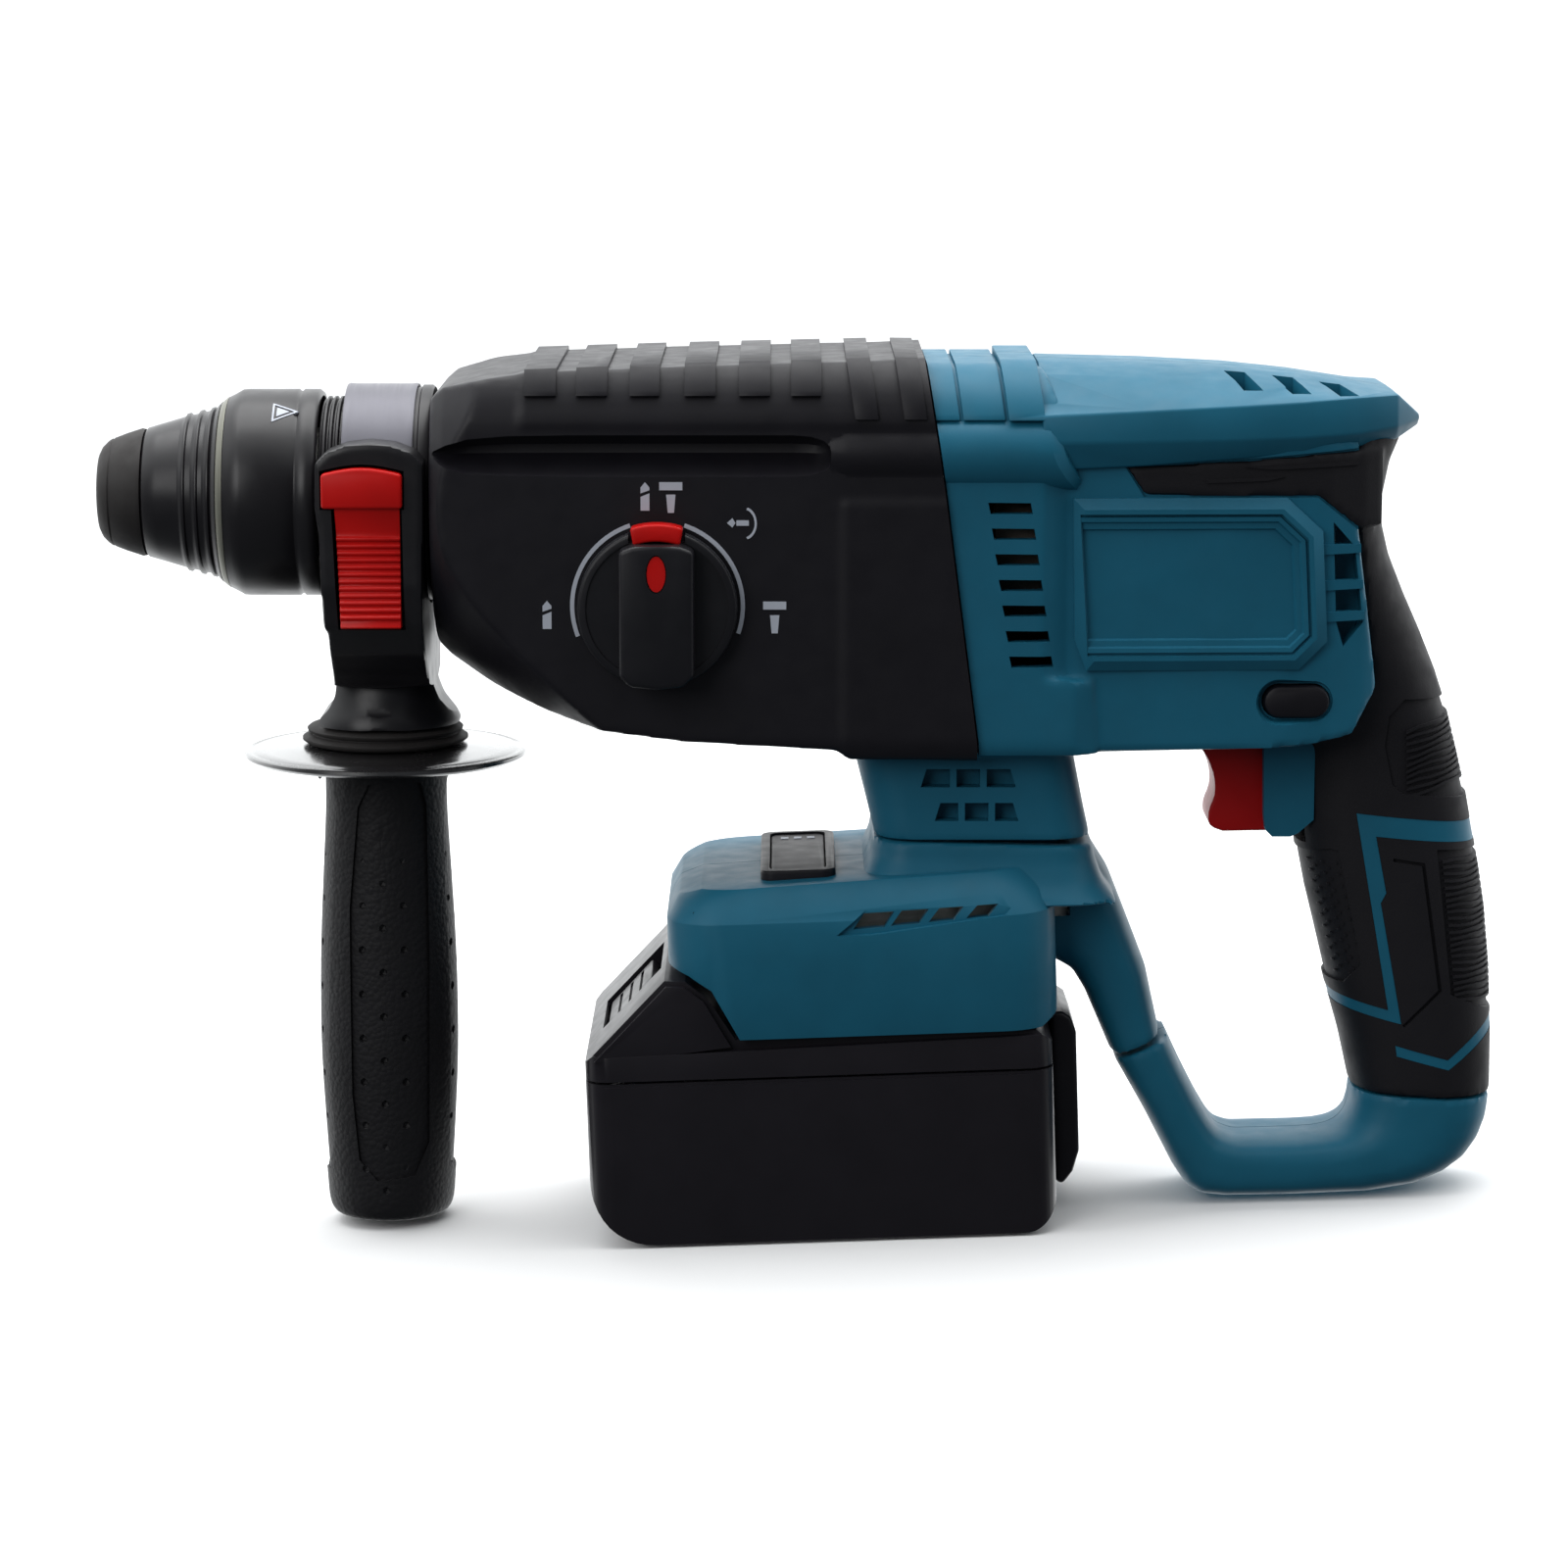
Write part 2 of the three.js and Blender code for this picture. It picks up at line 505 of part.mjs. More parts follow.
function batteryLower() {
  const plan = pushed('plan', roundedRectangle([-42.3, 65.4], [-BATTERY_HALF, BATTERY_HALF], 5, 3), -1, 60);
  const outside = overlap(plate(batteryOutline(), 40), plan);
  return cut(outside, block([-38, 62], [-34.5, 34.5], [3, 50]));
}

const UPPER_OUTLINE = [[-42.1, 38.8], [-42.1, 43], [-22.6, 62], [-18.5, 61.5], [-13.5, 57.8],
  [-7.3, 47.6], [62, 47.6], [65.2, 44.5], [65.2, 38.8]];

function batteryUpper() {
  const plan = pushed('plan', roundedRectangle([-42.3, 65.4], [-BATTERY_HALF, BATTERY_HALF], 5, 3), 30, 70);
  const outside = overlap(plate(UPPER_OUTLINE, 40), plan);
  const room = block([-37, 61], [-34.2, 34.2], [30, 44.2]);
  const latch = plate([[-38, 42], [-43, 47], [-28, 66], [-20.5, 59], [-32, 42]], 13);
  const springPocket = block([-34.5, -25.5], [-4, 4], [40, 48.4]);
  return cut(outside, room, latch, springPocket);
}

function batteryRelease() {
  return plate([[-37.5, 46.6], [-26.8, 57.2], [-25.2, 55.4], [-31.5, 46.2]], 12.6);
}

const latchSpring = () =>
  upright([[41.4, 1.6], [41.4, 3.4], [43.2, 3.4], [43.2, 1.6], [41.4, 1.6]], -29.5, 12);

function cellPack() {
  const cells = [];
  for (let row = 0; row < 2; row += 1) {
    for (let column = 0; column < 5; column += 1) {
      cells.push(post('y', -26 + column * 19, 12.6 + row * 19, [-32.5, 32.5], 9.1, 12));
    }
  }
  const strips = [-33, 32.2].map((y) => block([-33, 57], [y, y + 0.8], [6, 38]));
  return join(...cells, ...strips);
}

function gaugePanel() {
  const outline = [[65.7, 8], [67, 5.5], [71.8, 12], [71.8, 44], [69.5, 47], [65.7, 47]];
  return cut(plate(outline, 16), block([68.4, 75], [-4.5, 4.5], [21.5, 30.5]));
}

const gaugeButton = () => block([70, 72.6], [-4.1, 4.1], [22, 30]);

// ---- Side handle --------------------------------------------------------------------------
function handleClamp() {
  const flank = [[33, 11], [33, -22], [29, -32], [19, -41], [14.5, -45], [14.5, -49], [16.5, -53.4]];
  const section = [...flank, ...flank.map(([y, z]) => [-y, z]).reverse()];
  const side = [[-97.7, 10], [-92, 13.6], [-85.5, 14.6], [-79, 13.6], [-73.3, 10], [-73.3, -28],
    [-73.6, -45], [-69.5, -51], [-68, -53.4], [-100, -53.4], [-98.5, -51], [-95.7, -46], [-95.7, -28],
    [-97.7, -24]];
  const body = overlap(pushed('cross', section, -105, -60), plate(side, 40));
  const collarHole = rod([-105, -60], STRAP_RADIUS + 0.4, 32);
  const { upper, lower } = buttonBlocks(0.35, 45, 28.3);
  const rodHole = turned([[-105, 0], [-105, 4.8], [-60, 4.8], [-60, 0]], 6, -28, -21);
  return cut(body, collarHole, upper, lower, rodHole, post('z', SIDE_AXIS, 0, [-60, -24], 4.4, 16));
}

function buttonBlocks(margin, outer, inner) {
  const upper = block([-96 - margin, -78 + margin], [-outer, -inner], [-margin, 8.6 + margin]);
  const lower = block([-93.4 - margin, -78.6 + margin], [-outer, -inner], [-27.3 - margin, 1]);
  return { upper, lower };
}

function depthButton() {
  const { upper, lower } = buttonBlocks(0, 35.4, 30.8);
  return join(upper, lower);
}

const clampStrap = () => ring([-92.7, -76.5], COLLAR_RADIUS + GAP, STRAP_RADIUS, 28);

function clampBolt() {
  const shank = post('z', SIDE_AXIS, 0, [-110, -32], 3.9, 16);
  const head = post('z', SIDE_AXIS, 0, [-32.5, -27], 4, 6);
  return join(shank, head);
}

function dampingRing() {
  const folds = [[-58.6, 5], [-58.6, 17.5], [-57, 19.3], [-55.4, 17], [-53.7, 16], [-53.7, 5], [-58.6, 5]];
  return upright(folds, SIDE_AXIS);
}

function guardDisc() {
  const dish = [[-62.4, 9], [-62.4, 31], [-61.6, 33], [-60.4, 32.4], [-58.9, 20], [-58.9, 9], [-62.4, 9]];
  return upright(dish, SIDE_AXIS, 28);
}

function sideGrip() {
  const profile = [[-62.7, 4.3], [-62.7, 14.6], [-75, 14.8], [-90, 15.8], [-106, 16.7], [-130, 16.7],
    [-150, 15.8], [-168, 15], [-171.3, 13.4], [-171.3, 0], [-112, 0], [-112, 4.3], [-62.7, 4.3]];
  return upright(profile, SIDE_AXIS, 20);
}

// ---- Assembly -----------------------------------------------------------------------------
function buildBarrel() {
  const add = (name, solid, look) => addTo(barrel, name, solid, look);
  add('nose_cap', noseCap(), BLACK_RUBBER);
  add('chuck_sleeve', chuckSleeve(), BLACK_PLASTIC);
  add('sleeve_trim_ring', sleeveTrimRing(), SATIN_STEEL);
  add('spindle', spindle(), DARK_STEEL);
  add('locking_ball_right', lockingBall(1), DARK_STEEL);
  add('locking_ball_left', lockingBall(-1), DARK_STEEL);
  add('guide_ring', guideRing(), DARK_STEEL);
  add('chuck_spring', chuckSpring(), DARK_STEEL);
  add('front_seal', frontSeal(), BLACK_RUBBER);
  add('collar', collar(), BLACK_PLASTIC);
  add('impact_bolt', impactBolt(), DARK_STEEL);
  add('striker', striker(), DARK_STEEL);
  add('piston', piston(), DARK_STEEL);
  add('wobble_finger', wobbleFinger(), DARK_STEEL);
  add('spindle_gear', spindleGear(), DARK_STEEL);
  add('spindle_bearing', spindleBearing(), DARK_STEEL);
  add('intermediate_shaft', intermediateShaft(), DARK_STEEL);
  add('intermediate_gear', intermediateGear(), DARK_STEEL);
  add('shaft_front_bearing', shaftFrontBearing(), DARK_STEEL);
  add('shaft_rear_bearing', shaftRearBearing(), DARK_STEEL);
  add('gear_housing', gearHousing(), BLACK_PLASTIC);
  add('bearing_plate', bearingPlate(), DARK_STEEL);
  add('mode_knob', modeKnob(), BLACK_PLASTIC);
  add('knob_lock_button', knobLockButton(), RED_PLASTIC);
  add('shift_fork', shiftFork(), DARK_STEEL);
}

function buildMotor() {
  const add = (name, solid, look) => addTo(barrel, name, solid, look);
  add('rotor', rotor(), MAGNET_STEEL);
  add('fan', fan(), BLACK_PLASTIC);
  add('stator', stator(), MAGNET_STEEL);
  add('rotor_front_bearing', rotorFrontBearing(), DARK_STEEL);
  add('rotor_rear_bearing', rotorRearBearing(), DARK_STEEL);
}

function buildBody() {
  const add = (name, solid, look) => addTo(barrel, name, solid, look);
  const shells = cut(bodySolid(), ...bodyHollows(), leverHole(), ...screwHoles());
  add('body_shell_left', leftOf(shells), TEAL_PLASTIC);
  add('body_shell_right', rightOf(shells), TEAL_PLASTIC);
  const rubber = gripRubber();
  add('grip_rubber_left', leftOf(rubber), BLACK_RUBBER);
  add('grip_rubber_right', rightOf(rubber), BLACK_RUBBER);
  SCREWS.forEach((place) => add(place.name, screw(place), DARK_STEEL));
  add('switch_body', switchBody(), BLACK_PLASTIC);
  add('trigger', trigger(), RED_PLASTIC);
  add('reversing_lever', reversingLever(), BLACK_PLASTIC);
}

function buildSideHandle() {
  const add = (name, solid, look) => addTo(barrel, name, solid, look);
  add('handle_clamp', handleClamp(), BLACK_PLASTIC);
  add('clamp_strap', clampStrap(), SATIN_STEEL);
  add('clamp_bolt', clampBolt(), DARK_STEEL);
  add('depth_button', depthButton(), RED_PLASTIC);
  add('damping_ring', dampingRing(), BLACK_RUBBER);
  add('guard_disc', guardDisc(), BLACK_PLASTIC);
  add('side_grip', sideGrip(), BLACK_RUBBER);
}

function buildBase() {
  const add = (name, solid, look) => addTo(tool, name, solid, look);
  const shells = cut(baseSolid(), ...baseHollows());
  add('base_shell_left', leftOf(shells), TEAL_PLASTIC);
  add('base_shell_right', rightOf(shells), TEAL_PLASTIC);
  add('lamp_lens', lampLens(), SMOKED_LENS);
  add('controller_board', controllerBoard(), CIRCUIT_BOARD);
  add('terminal_block', terminalBlock(), BLACK_PLASTIC);
}

function buildBattery() {
  const add = (name, solid, look) => addTo(tool, name, solid, look);
  add('battery_lower_case', batteryLower(), GLOSS_BLACK);
  add('battery_upper_case', batteryUpper(), GLOSS_BLACK);
  add('battery_release_button', batteryRelease(), GLOSS_BLACK);
  add('latch_spring', latchSpring(), DARK_STEEL);
  add('cell_pack', cellPack(), CELL_SLEEVE);
  add('gauge_panel', gaugePanel(), GLOSS_BLACK);
  add('gauge_button', gaugeButton(), GLOSS_BLACK);
}

buildBarrel();
buildMotor();
buildBody();
buildSideHandle();
buildBase();
buildBattery();

export default tool;
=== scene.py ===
import json
import logging
import math
from collections.abc import Callable, Sequence
from dataclasses import dataclass
from enum import Enum

import bmesh
import bpy
from mathutils import Matrix, Vector


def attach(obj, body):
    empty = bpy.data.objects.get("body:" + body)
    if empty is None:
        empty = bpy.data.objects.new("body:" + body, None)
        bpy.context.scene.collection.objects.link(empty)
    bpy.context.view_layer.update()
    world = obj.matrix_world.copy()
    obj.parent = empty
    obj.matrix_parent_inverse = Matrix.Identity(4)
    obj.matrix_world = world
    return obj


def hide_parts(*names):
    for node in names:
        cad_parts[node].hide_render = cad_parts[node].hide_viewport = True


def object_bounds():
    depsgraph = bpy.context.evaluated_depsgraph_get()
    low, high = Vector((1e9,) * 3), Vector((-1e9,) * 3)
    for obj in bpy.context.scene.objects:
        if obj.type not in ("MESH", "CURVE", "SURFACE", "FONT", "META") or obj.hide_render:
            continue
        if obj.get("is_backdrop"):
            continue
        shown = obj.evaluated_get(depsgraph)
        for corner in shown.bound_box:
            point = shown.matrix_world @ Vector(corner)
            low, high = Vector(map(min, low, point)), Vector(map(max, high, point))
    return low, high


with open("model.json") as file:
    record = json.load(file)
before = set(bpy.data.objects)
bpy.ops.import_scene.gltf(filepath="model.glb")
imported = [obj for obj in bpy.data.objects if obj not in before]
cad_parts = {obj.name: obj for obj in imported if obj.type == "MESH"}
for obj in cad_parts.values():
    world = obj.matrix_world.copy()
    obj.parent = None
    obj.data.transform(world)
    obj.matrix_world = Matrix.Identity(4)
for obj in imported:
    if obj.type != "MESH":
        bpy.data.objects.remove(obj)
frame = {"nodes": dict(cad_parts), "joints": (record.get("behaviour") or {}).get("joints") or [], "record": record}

logging.basicConfig(level=logging.INFO, format="%(message)s")
log = logging.getLogger("rotary_hammer")

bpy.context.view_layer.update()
MM = 0.001
FULL_TURN = 2 * math.pi
Point = tuple[float, float]


# ---- Frames ---------------------------------------------------------------------------------
class Plane(Enum):
    """The plane an outline is drawn in; the outline is pushed along the axis that is left."""

    SIDE = "points are x, z"
    CROSS = "points are y, z"
    TOP = "points are x, y"

    def at(self, a: float, b: float, depth: float) -> Vector:
        """Gives the point (a, b) of the plane that lies at the given depth."""
        if self is Plane.SIDE:
            return Vector((a, depth, b))
        if self is Plane.CROSS:
            return Vector((depth, a, b))
        return Vector((a, b, depth))


@dataclass(frozen=True)
class Extent:
    """The lowest and highest corner of a node, in millimetres of some place."""

    lo: Vector
    hi: Vector

    @property
    def middle(self) -> Vector:
        """The middle of the box."""
        return (self.lo + self.hi) / 2


@dataclass(frozen=True)
class Place:
    """A frame that pieces are modelled in, in millimetres, and where it stands in the row frame."""

    matrix: Matrix

    def extent(self, node: str) -> Extent:
        """Measures a CAD node along this place's axes.

        Args:
            node: The CAD node's name.

        Returns:
            Its corners in millimetres.
        """
        back = self.matrix.inverted()
        points = [back @ vertex.co for vertex in frame["nodes"][node].data.vertices]
        lo = Vector(min(p[i] for p in points) for i in range(3))
        hi = Vector(max(p[i] for p in points) for i in range(3))
        return Extent(lo, hi)


def barrel_place() -> Place:
    """Finds the barrel's frame from the spindle's joint: X along the axis to the rear, Z up."""
    joint = next(j for j in frame["joints"] if j["name"] == "spindle_spin")
    along = Vector(joint["axis"]).normalized()
    side = Vector((0, 1, 0))
    turn = Matrix((along, side, along.cross(side))).transposed().to_4x4()
    return Place(Matrix.Translation(Vector(joint["pos_m"])) @ turn @ Matrix.Scale(MM, 4))


ROW = Place(Matrix.Scale(MM, 4))
BARREL = barrel_place()


# ---- Shaping --------------------------------------------------------------------------------
class Shape:
    """A closed mesh in millimetres, shaped step by step until it is delivered."""

    def __init__(self, mesh: bmesh.types.BMesh, tidy: bool = True) -> None:
        """Takes over a bmesh.

        Args:
            mesh: The bmesh, which is freed.
            tidy: Whether to merge doubles and turn the faces outwards.
        """
        if tidy:
            bmesh.ops.remove_doubles(mesh, verts=mesh.verts, dist=1e-4)
            bmesh.ops.recalc_face_normals(mesh, faces=mesh.faces)
        data = bpy.data.meshes.new("work")
        mesh.to_mesh(data)
        mesh.free()
        self.item = bpy.data.objects.new("work", data)
        bpy.context.scene.collection.objects.link(self.item)

    def _apply(self) -> None:
        """Bakes the modifiers into the mesh."""
        evaluated = self.item.evaluated_get(bpy.context.evaluated_depsgraph_get())
        old = self.item.data
        self.item.data = bpy.data.meshes.new_from_object(evaluated)
        self.item.modifiers.clear()
        bpy.data.meshes.remove(old)

    def edit(self, change: Callable[[bmesh.types.BMesh], None]) -> "Shape":
        """Runs a bmesh change on the mesh and gives the shape back."""
        mesh = bmesh.new()
        mesh.from_mesh(self.item.data)
        change(mesh)
        mesh.to_mesh(self.item.data)
        mesh.free()
        return self

    def _combine(self, operation: str, tool: "Shape") -> "Shape":
        """Runs an exact boolean with another shape, which is used up."""
        change = self.item.modifiers.new("combine", "BOOLEAN")
        change.operation = operation
        change.solver = "EXACT"
        change.object = tool.item
        self._apply()
        tool.discard()
        return self

    def cut(self, *tools: "Shape") -> "Shape":
        """Takes the tools away from the shape."""
        for tool in tools:
            self._combine("DIFFERENCE", tool)
        return self

    def meet(self, *tools: "Shape") -> "Shape":
        """Keeps what the shape shares with each of the tools."""
        for tool in tools:
            self._combine("INTERSECT", tool)
        return self

    def join(self, *tools: "Shape") -> "Shape":
        """Unites the tools with the shape."""
        for tool in tools:
            self._combine("UNION", tool)
        return self

    def gather(self, *others: "Shape") -> "Shape":
        """Adds the other shapes' faces as they are; moulding unites them later."""
        mesh = bmesh.new()
        for shape in (self, *others):
            mesh.from_mesh(shape.item.data)
        for other in others:
            other.discard()
        mesh.to_mesh(self.item.data)
        mesh.free()
        return self

    def mould(self, grain: float, passes: int) -> "Shape":
        """Remeshes the shape and relaxes it, which rounds its edges like a moulding's.

        Args:
            grain: The size of a face, in millimetres.
            passes: How often the surface is relaxed.

        Returns:
            The shape itself.
        """
        remesh = self.item.modifiers.new("mould", "REMESH")
        remesh.mode = "VOXEL"
        remesh.voxel_size = grain
        relax = self.item.modifiers.new("relax", "SMOOTH")
        relax.factor = 0.5
        relax.iterations = passes
        self._apply()
        return self

    def soften(self, width: float, segments: int = 3, angle: float = 30.0) -> "Shape":
        """Bevels every edge sharper than the angle, in degrees."""
        limit = math.radians(angle)

        def change(mesh: bmesh.types.BMesh) -> None:
            """Bevels the sharp edges."""
            sharp = [e for e in mesh.edges if len(e.link_faces) == 2 and e.calc_face_angle(0) > limit]
            bmesh.ops.bevel(mesh, geom=sharp, offset=width, offset_type="OFFSET", segments=segments,
                            profile=0.5, affect="EDGES", clamp_overlap=True, material=-1)

        return self.edit(change)

    def halves(self, gap: float) -> tuple["Shape", "Shape"]:
        """Splits the shape at the middle plane into its left and right half."""
        result = []
        for sign in (-1.0, 1.0):
            mesh = bmesh.new()
            mesh.from_mesh(self.item.data)
            geometry = [*mesh.verts, *mesh.edges, *mesh.faces]
            sliced = bmesh.ops.bisect_plane(
                mesh, geom=geometry, dist=1e-5, plane_co=(0, sign * gap / 2, 0),
                plane_no=(0, sign, 0), clear_inner=True, clear_outer=False)
            rim = [e for e in sliced["geom_cut"] if isinstance(e, bmesh.types.BMEdge)]
            bmesh.ops.triangle_fill(mesh, use_beauty=True, use_dissolve=False, edges=rim)
            bmesh.ops.recalc_face_normals(mesh, faces=mesh.faces)
            result.append(Shape(mesh, tidy=False))
        self.discard()
        return result[0], result[1]

    def turned(self, degrees: float, centre: Vector, axis: str) -> "Shape":
        """Turns the shape about an axis through a point."""
        matrix = Matrix.Rotation(math.radians(degrees), 3, axis)

        def change(mesh: bmesh.types.BMesh) -> None:
            """Turns every vertex."""
            bmesh.ops.rotate(mesh, cent=centre, matrix=matrix, verts=mesh.verts)

        return self.edit(change)

    def discard(self) -> None:
        """Removes the shape from the scene."""
        data = self.item.data
        bpy.data.objects.remove(self.item)
        bpy.data.meshes.remove(data)


def prism(outline: Sequence[Point], low: float, high: float, plane: Plane = Plane.SIDE) -> Shape:
    """Pushes an outline into a solid.

    Args:
        outline: The outline's corners.
        low: Where it starts along the plane's own axis.
        high: Where it ends.
        plane: The plane that it is drawn in.

    Returns:
        The solid.
    """
    mesh = bmesh.new()
    face = mesh.faces.new([mesh.verts.new(plane.at(a, b, low)) for a, b in outline])
    pushed = bmesh.ops.extrude_face_region(mesh, geom=[face])
    moved = [v for v in pushed["geom"] if isinstance(v, bmesh.types.BMVert)]
    bmesh.ops.translate(mesh, vec=plane.at(0, 0, high - low), verts=moved)
    return Shape(mesh)


def block(x: Point, y: Point, z: Point) -> Shape:
    """Makes a box from its limits along each axis."""
    return prism([(x[0], z[0]), (x[1], z[0]), (x[1], z[1]), (x[0], z[1])], y[0], y[1])


def spun(profile: Sequence[Point], steps: int = 96, lift: Point = (0.0, 0.0)) -> Shape:
    """Spins a profile about a line along X.

    Args:
        profile: (distance along the axis, radius) pairs, which close on themselves or end on the axis.
        steps: Faces around the circle.
        lift: The line's y and z.

    Returns:
        The turned solid.
    """
    mesh = bmesh.new()
    verts = [mesh.verts.new((along, lift[0], lift[1] + radius)) for along, radius in profile]
    edges = [mesh.edges.new(pair) for pair in zip(verts, verts[1:])]
    if min(radius for _, radius in profile) > 1e-6:
        edges.append(mesh.edges.new((verts[-1], verts[0])))
    bmesh.ops.spin(mesh, geom=[*verts, *edges], cent=(0, lift[0], lift[1]), axis=(1, 0, 0),
                   dvec=(0, 0, 0), angle=FULL_TURN, steps=steps, use_merge=True)
    return Shape(mesh)


def spun_upright(profile: Sequence[Point], x: float, steps: int = 96) -> Shape:
    """Spins a profile of (height, radius) pairs about an upright line at x in the middle plane."""
    shape = spun(profile, steps)

    def change(mesh: bmesh.types.BMesh) -> None:
        """Stands the axis up and moves it to its place."""
        bmesh.ops.rotate(mesh, cent=(0, 0, 0), matrix=Matrix.Rotation(-math.pi / 2, 3, "Y"), verts=mesh.verts)
        bmesh.ops.translate(mesh, vec=(x, 0, 0), verts=mesh.verts)

    return shape.edit(change)


def pin(centre: Point, low: float, high: float, radius: float, steps: int = 48) -> Shape:
    """Makes a round pin along Y, from low to high, with its centre at (x, z)."""
    ring = [(centre[0] + radius * math.cos(FULL_TURN * i / steps),
             centre[1] + radius * math.sin(FULL_TURN * i / steps)) for i in range(steps)]
    return prism(ring, low, high)


def loft(rings: Sequence[Sequence[Vector]]) -> Shape:
    """Bridges closed rings of the same count in order, and closes both ends."""
    mesh = bmesh.new()
    loops = []
    for ring in rings:
        verts = [mesh.verts.new(point) for point in ring]
        loops.append([mesh.edges.new((verts[i - 1], verts[i])) for i in range(len(verts))])
    for one, two in zip(loops, loops[1:]):
        bmesh.ops.bridge_loops(mesh, edges=one + two)
    for end in (loops[0], loops[-1]):
        bmesh.ops.contextual_create(mesh, geom=end)
    return Shape(mesh)


def eased(points: Sequence[Sequence[float]], steps: int = 5) -> list[tuple[float, ...]]:
    """Runs a smooth curve through the points.

    Args:
        points: Points of any number of coordinates.
        steps: New points per stretch.

    Returns:
        The points of the curve, ends included.
    """
    curve = []
    last = len(points) - 1
    for i in range(last):
        p0, p1, p2, p3 = (points[max(i - 1, 0)], points[i], points[i + 1], points[min(i + 2, last)])
        for step in range(steps):
            t = step / steps
            curve.append(tuple(
                0.5 * (2 * b + (c - a) * t + (2 * a - 5 * b + 4 * c - d) * t * t
                       + (3 * b - a - 3 * c + d) * t ** 3)
                for a, b, c, d in zip(p0, p1, p2, p3)))
    curve.append(tuple(points[-1]))
    return curve


def rounded_box(a: Point, b: Point, radii: tuple[float, float], steps: int = 8) -> list[Point]:
    """Draws a rectangle with rounded corners.

    Args:
        a: Its limits along the first axis.
        b: Its limits along the second axis.
        radii: The radius of the two lower and of the two upper corners.
        steps: Points per corner.

    Returns:
        The outline.
    """
    low, high = radii
    corners = [(a[1] - high, b[1] - high, high, 0), (a[0] + high, b[1] - high, high, 1),
               (a[0] + low, b[0] + low, low, 2), (a[1] - low, b[0] + low, low, 3)]
    outline = []
    for ca, cb, radius, quarter in corners:
        for step in range(steps + 1):
            angle = (quarter + step / steps) * math.pi / 2
            outline.append((ca + radius * math.cos(angle), cb + radius * math.sin(angle)))
    return outline


def inset(outline: Sequence[Point], distance: float) -> list[Point]:
    """Moves an outline inwards by a distance, or outwards by a negative one."""
    area = sum(a[0] * b[1] - b[0] * a[1] for a, b in zip(outline, [*outline[1:], outline[0]]))
    turn = math.copysign(1.0, area)
    moved = []
    for i, point in enumerate(outline):
        here = Vector(point)
        one = (here - Vector(outline[i - 1])).normalized()
        two = (Vector(outline[(i + 1) % len(outline)]) - here).normalized()
        inward = Vector((-one.y - two.y, one.x + two.x)).normalized()
        reach = turn * distance / max(0.4, inward.dot(Vector((-one.y, one.x))))
        moved.append(tuple(here + inward * reach))
    return moved


def stadium(centre: Point, length: float, height: float, steps: int = 12) -> list[Point]:
    """Draws a slot with round ends, lying along the first axis."""
    half, radius = length / 2, height / 2
    return rounded_box((centre[0] - half, centre[0] + half),
                       (centre[1] - radius, centre[1] + radius), (radius, radius), steps)


# ---- Finishes -------------------------------------------------------------------------------
Colour = tuple[float, float, float]


class Nodes:
    """A short way to write a material's node tree."""

    def __init__(self, name: str) -> None:
        """Starts a material with its shader and output joined."""
        self.material = bpy.data.materials.new(name)
        self.material.use_nodes = True
        self.tree = self.material.node_tree
        self.tree.nodes.clear()
        self.shader = self.tree.nodes.new("ShaderNodeBsdfPrincipled")
        output = self.tree.nodes.new("ShaderNodeOutputMaterial")
        self.wire(self.shader.outputs["BSDF"], output.inputs["Surface"])
        self.place = self.add("ShaderNodeTexCoord").outputs["Object"]

    def add(self, kind: str, **settings: object) -> bpy.types.ShaderNode:
        """Adds a node and sets its properties."""
        node = self.tree.nodes.new(kind)
        for key, value in settings.items():
            setattr(node, key, value)
        return node

    def wire(self, source: bpy.types.NodeSocket, target: bpy.types.NodeSocket) -> None:
        """Joins two sockets."""
        self.tree.links.new(source, target)

    def noise(self, size: float, detail: float = 4.0, stretch: Colour = (1, 1, 1)) -> bpy.types.NodeSocket:
        """Makes noise over the piece.

        Args:
            size: The size of its spots, in millimetres.
            detail: How many finer layers it has.
            stretch: Scale along each axis, to draw the spots out.

        Returns:
            Its value socket, from 0 to 1.
        """
        mapping = self.add("ShaderNodeMapping")
        mapping.inputs["Scale"].default_value = stretch
        self.wire(self.place, mapping.inputs["Vector"])
        node = self.add("ShaderNodeTexNoise")
        node.inputs["Scale"].default_value = 1 / (size * MM)
        node.inputs["Detail"].default_value = detail
        node.inputs["Roughness"].default_value = 0.55
        self.wire(mapping.outputs["Vector"], node.inputs["Vector"])
        return node.outputs["Fac"]

    def spread(self, source: bpy.types.NodeSocket, low: float, high: float) -> bpy.types.NodeSocket:
        """Maps the middle of a noise, 0.3 to 0.7, to a range of values."""
        node = self.add("ShaderNodeMapRange")
        for key, value in {"From Min": 0.3, "From Max": 0.7, "To Min": low, "To Max": high}.items():
            node.inputs[key].default_value = value
        self.wire(source, node.inputs["Value"])
        return node.outputs["Result"]

    def blend(self, share: bpy.types.NodeSocket, one: Colour, two: Colour) -> bpy.types.NodeSocket:
        """Mixes two colours by a value."""
        node = self.add("ShaderNodeMix", data_type="RGBA")
        node.inputs["A"].default_value = (*one, 1)
        node.inputs["B"].default_value = (*two, 1)
        self.wire(share, node.inputs["Factor"])
        return node.outputs["Result"]

    def bump(self, *layers: tuple[bpy.types.NodeSocket, float]) -> None:
        """Stacks heights on the shader's normal; each layer has its depth in millimetres."""
        normal = None
        for height, depth in layers:
            node = self.add("ShaderNodeBump")
            node.inputs["Strength"].default_value = 1.0
            node.inputs["Distance"].default_value = depth * MM
            self.wire(height, node.inputs["Height"])
            if normal is not None:
                self.wire(normal, node.inputs["Normal"])
            normal = node.outputs["Normal"]
        self.wire(normal, self.shader.inputs["Normal"])


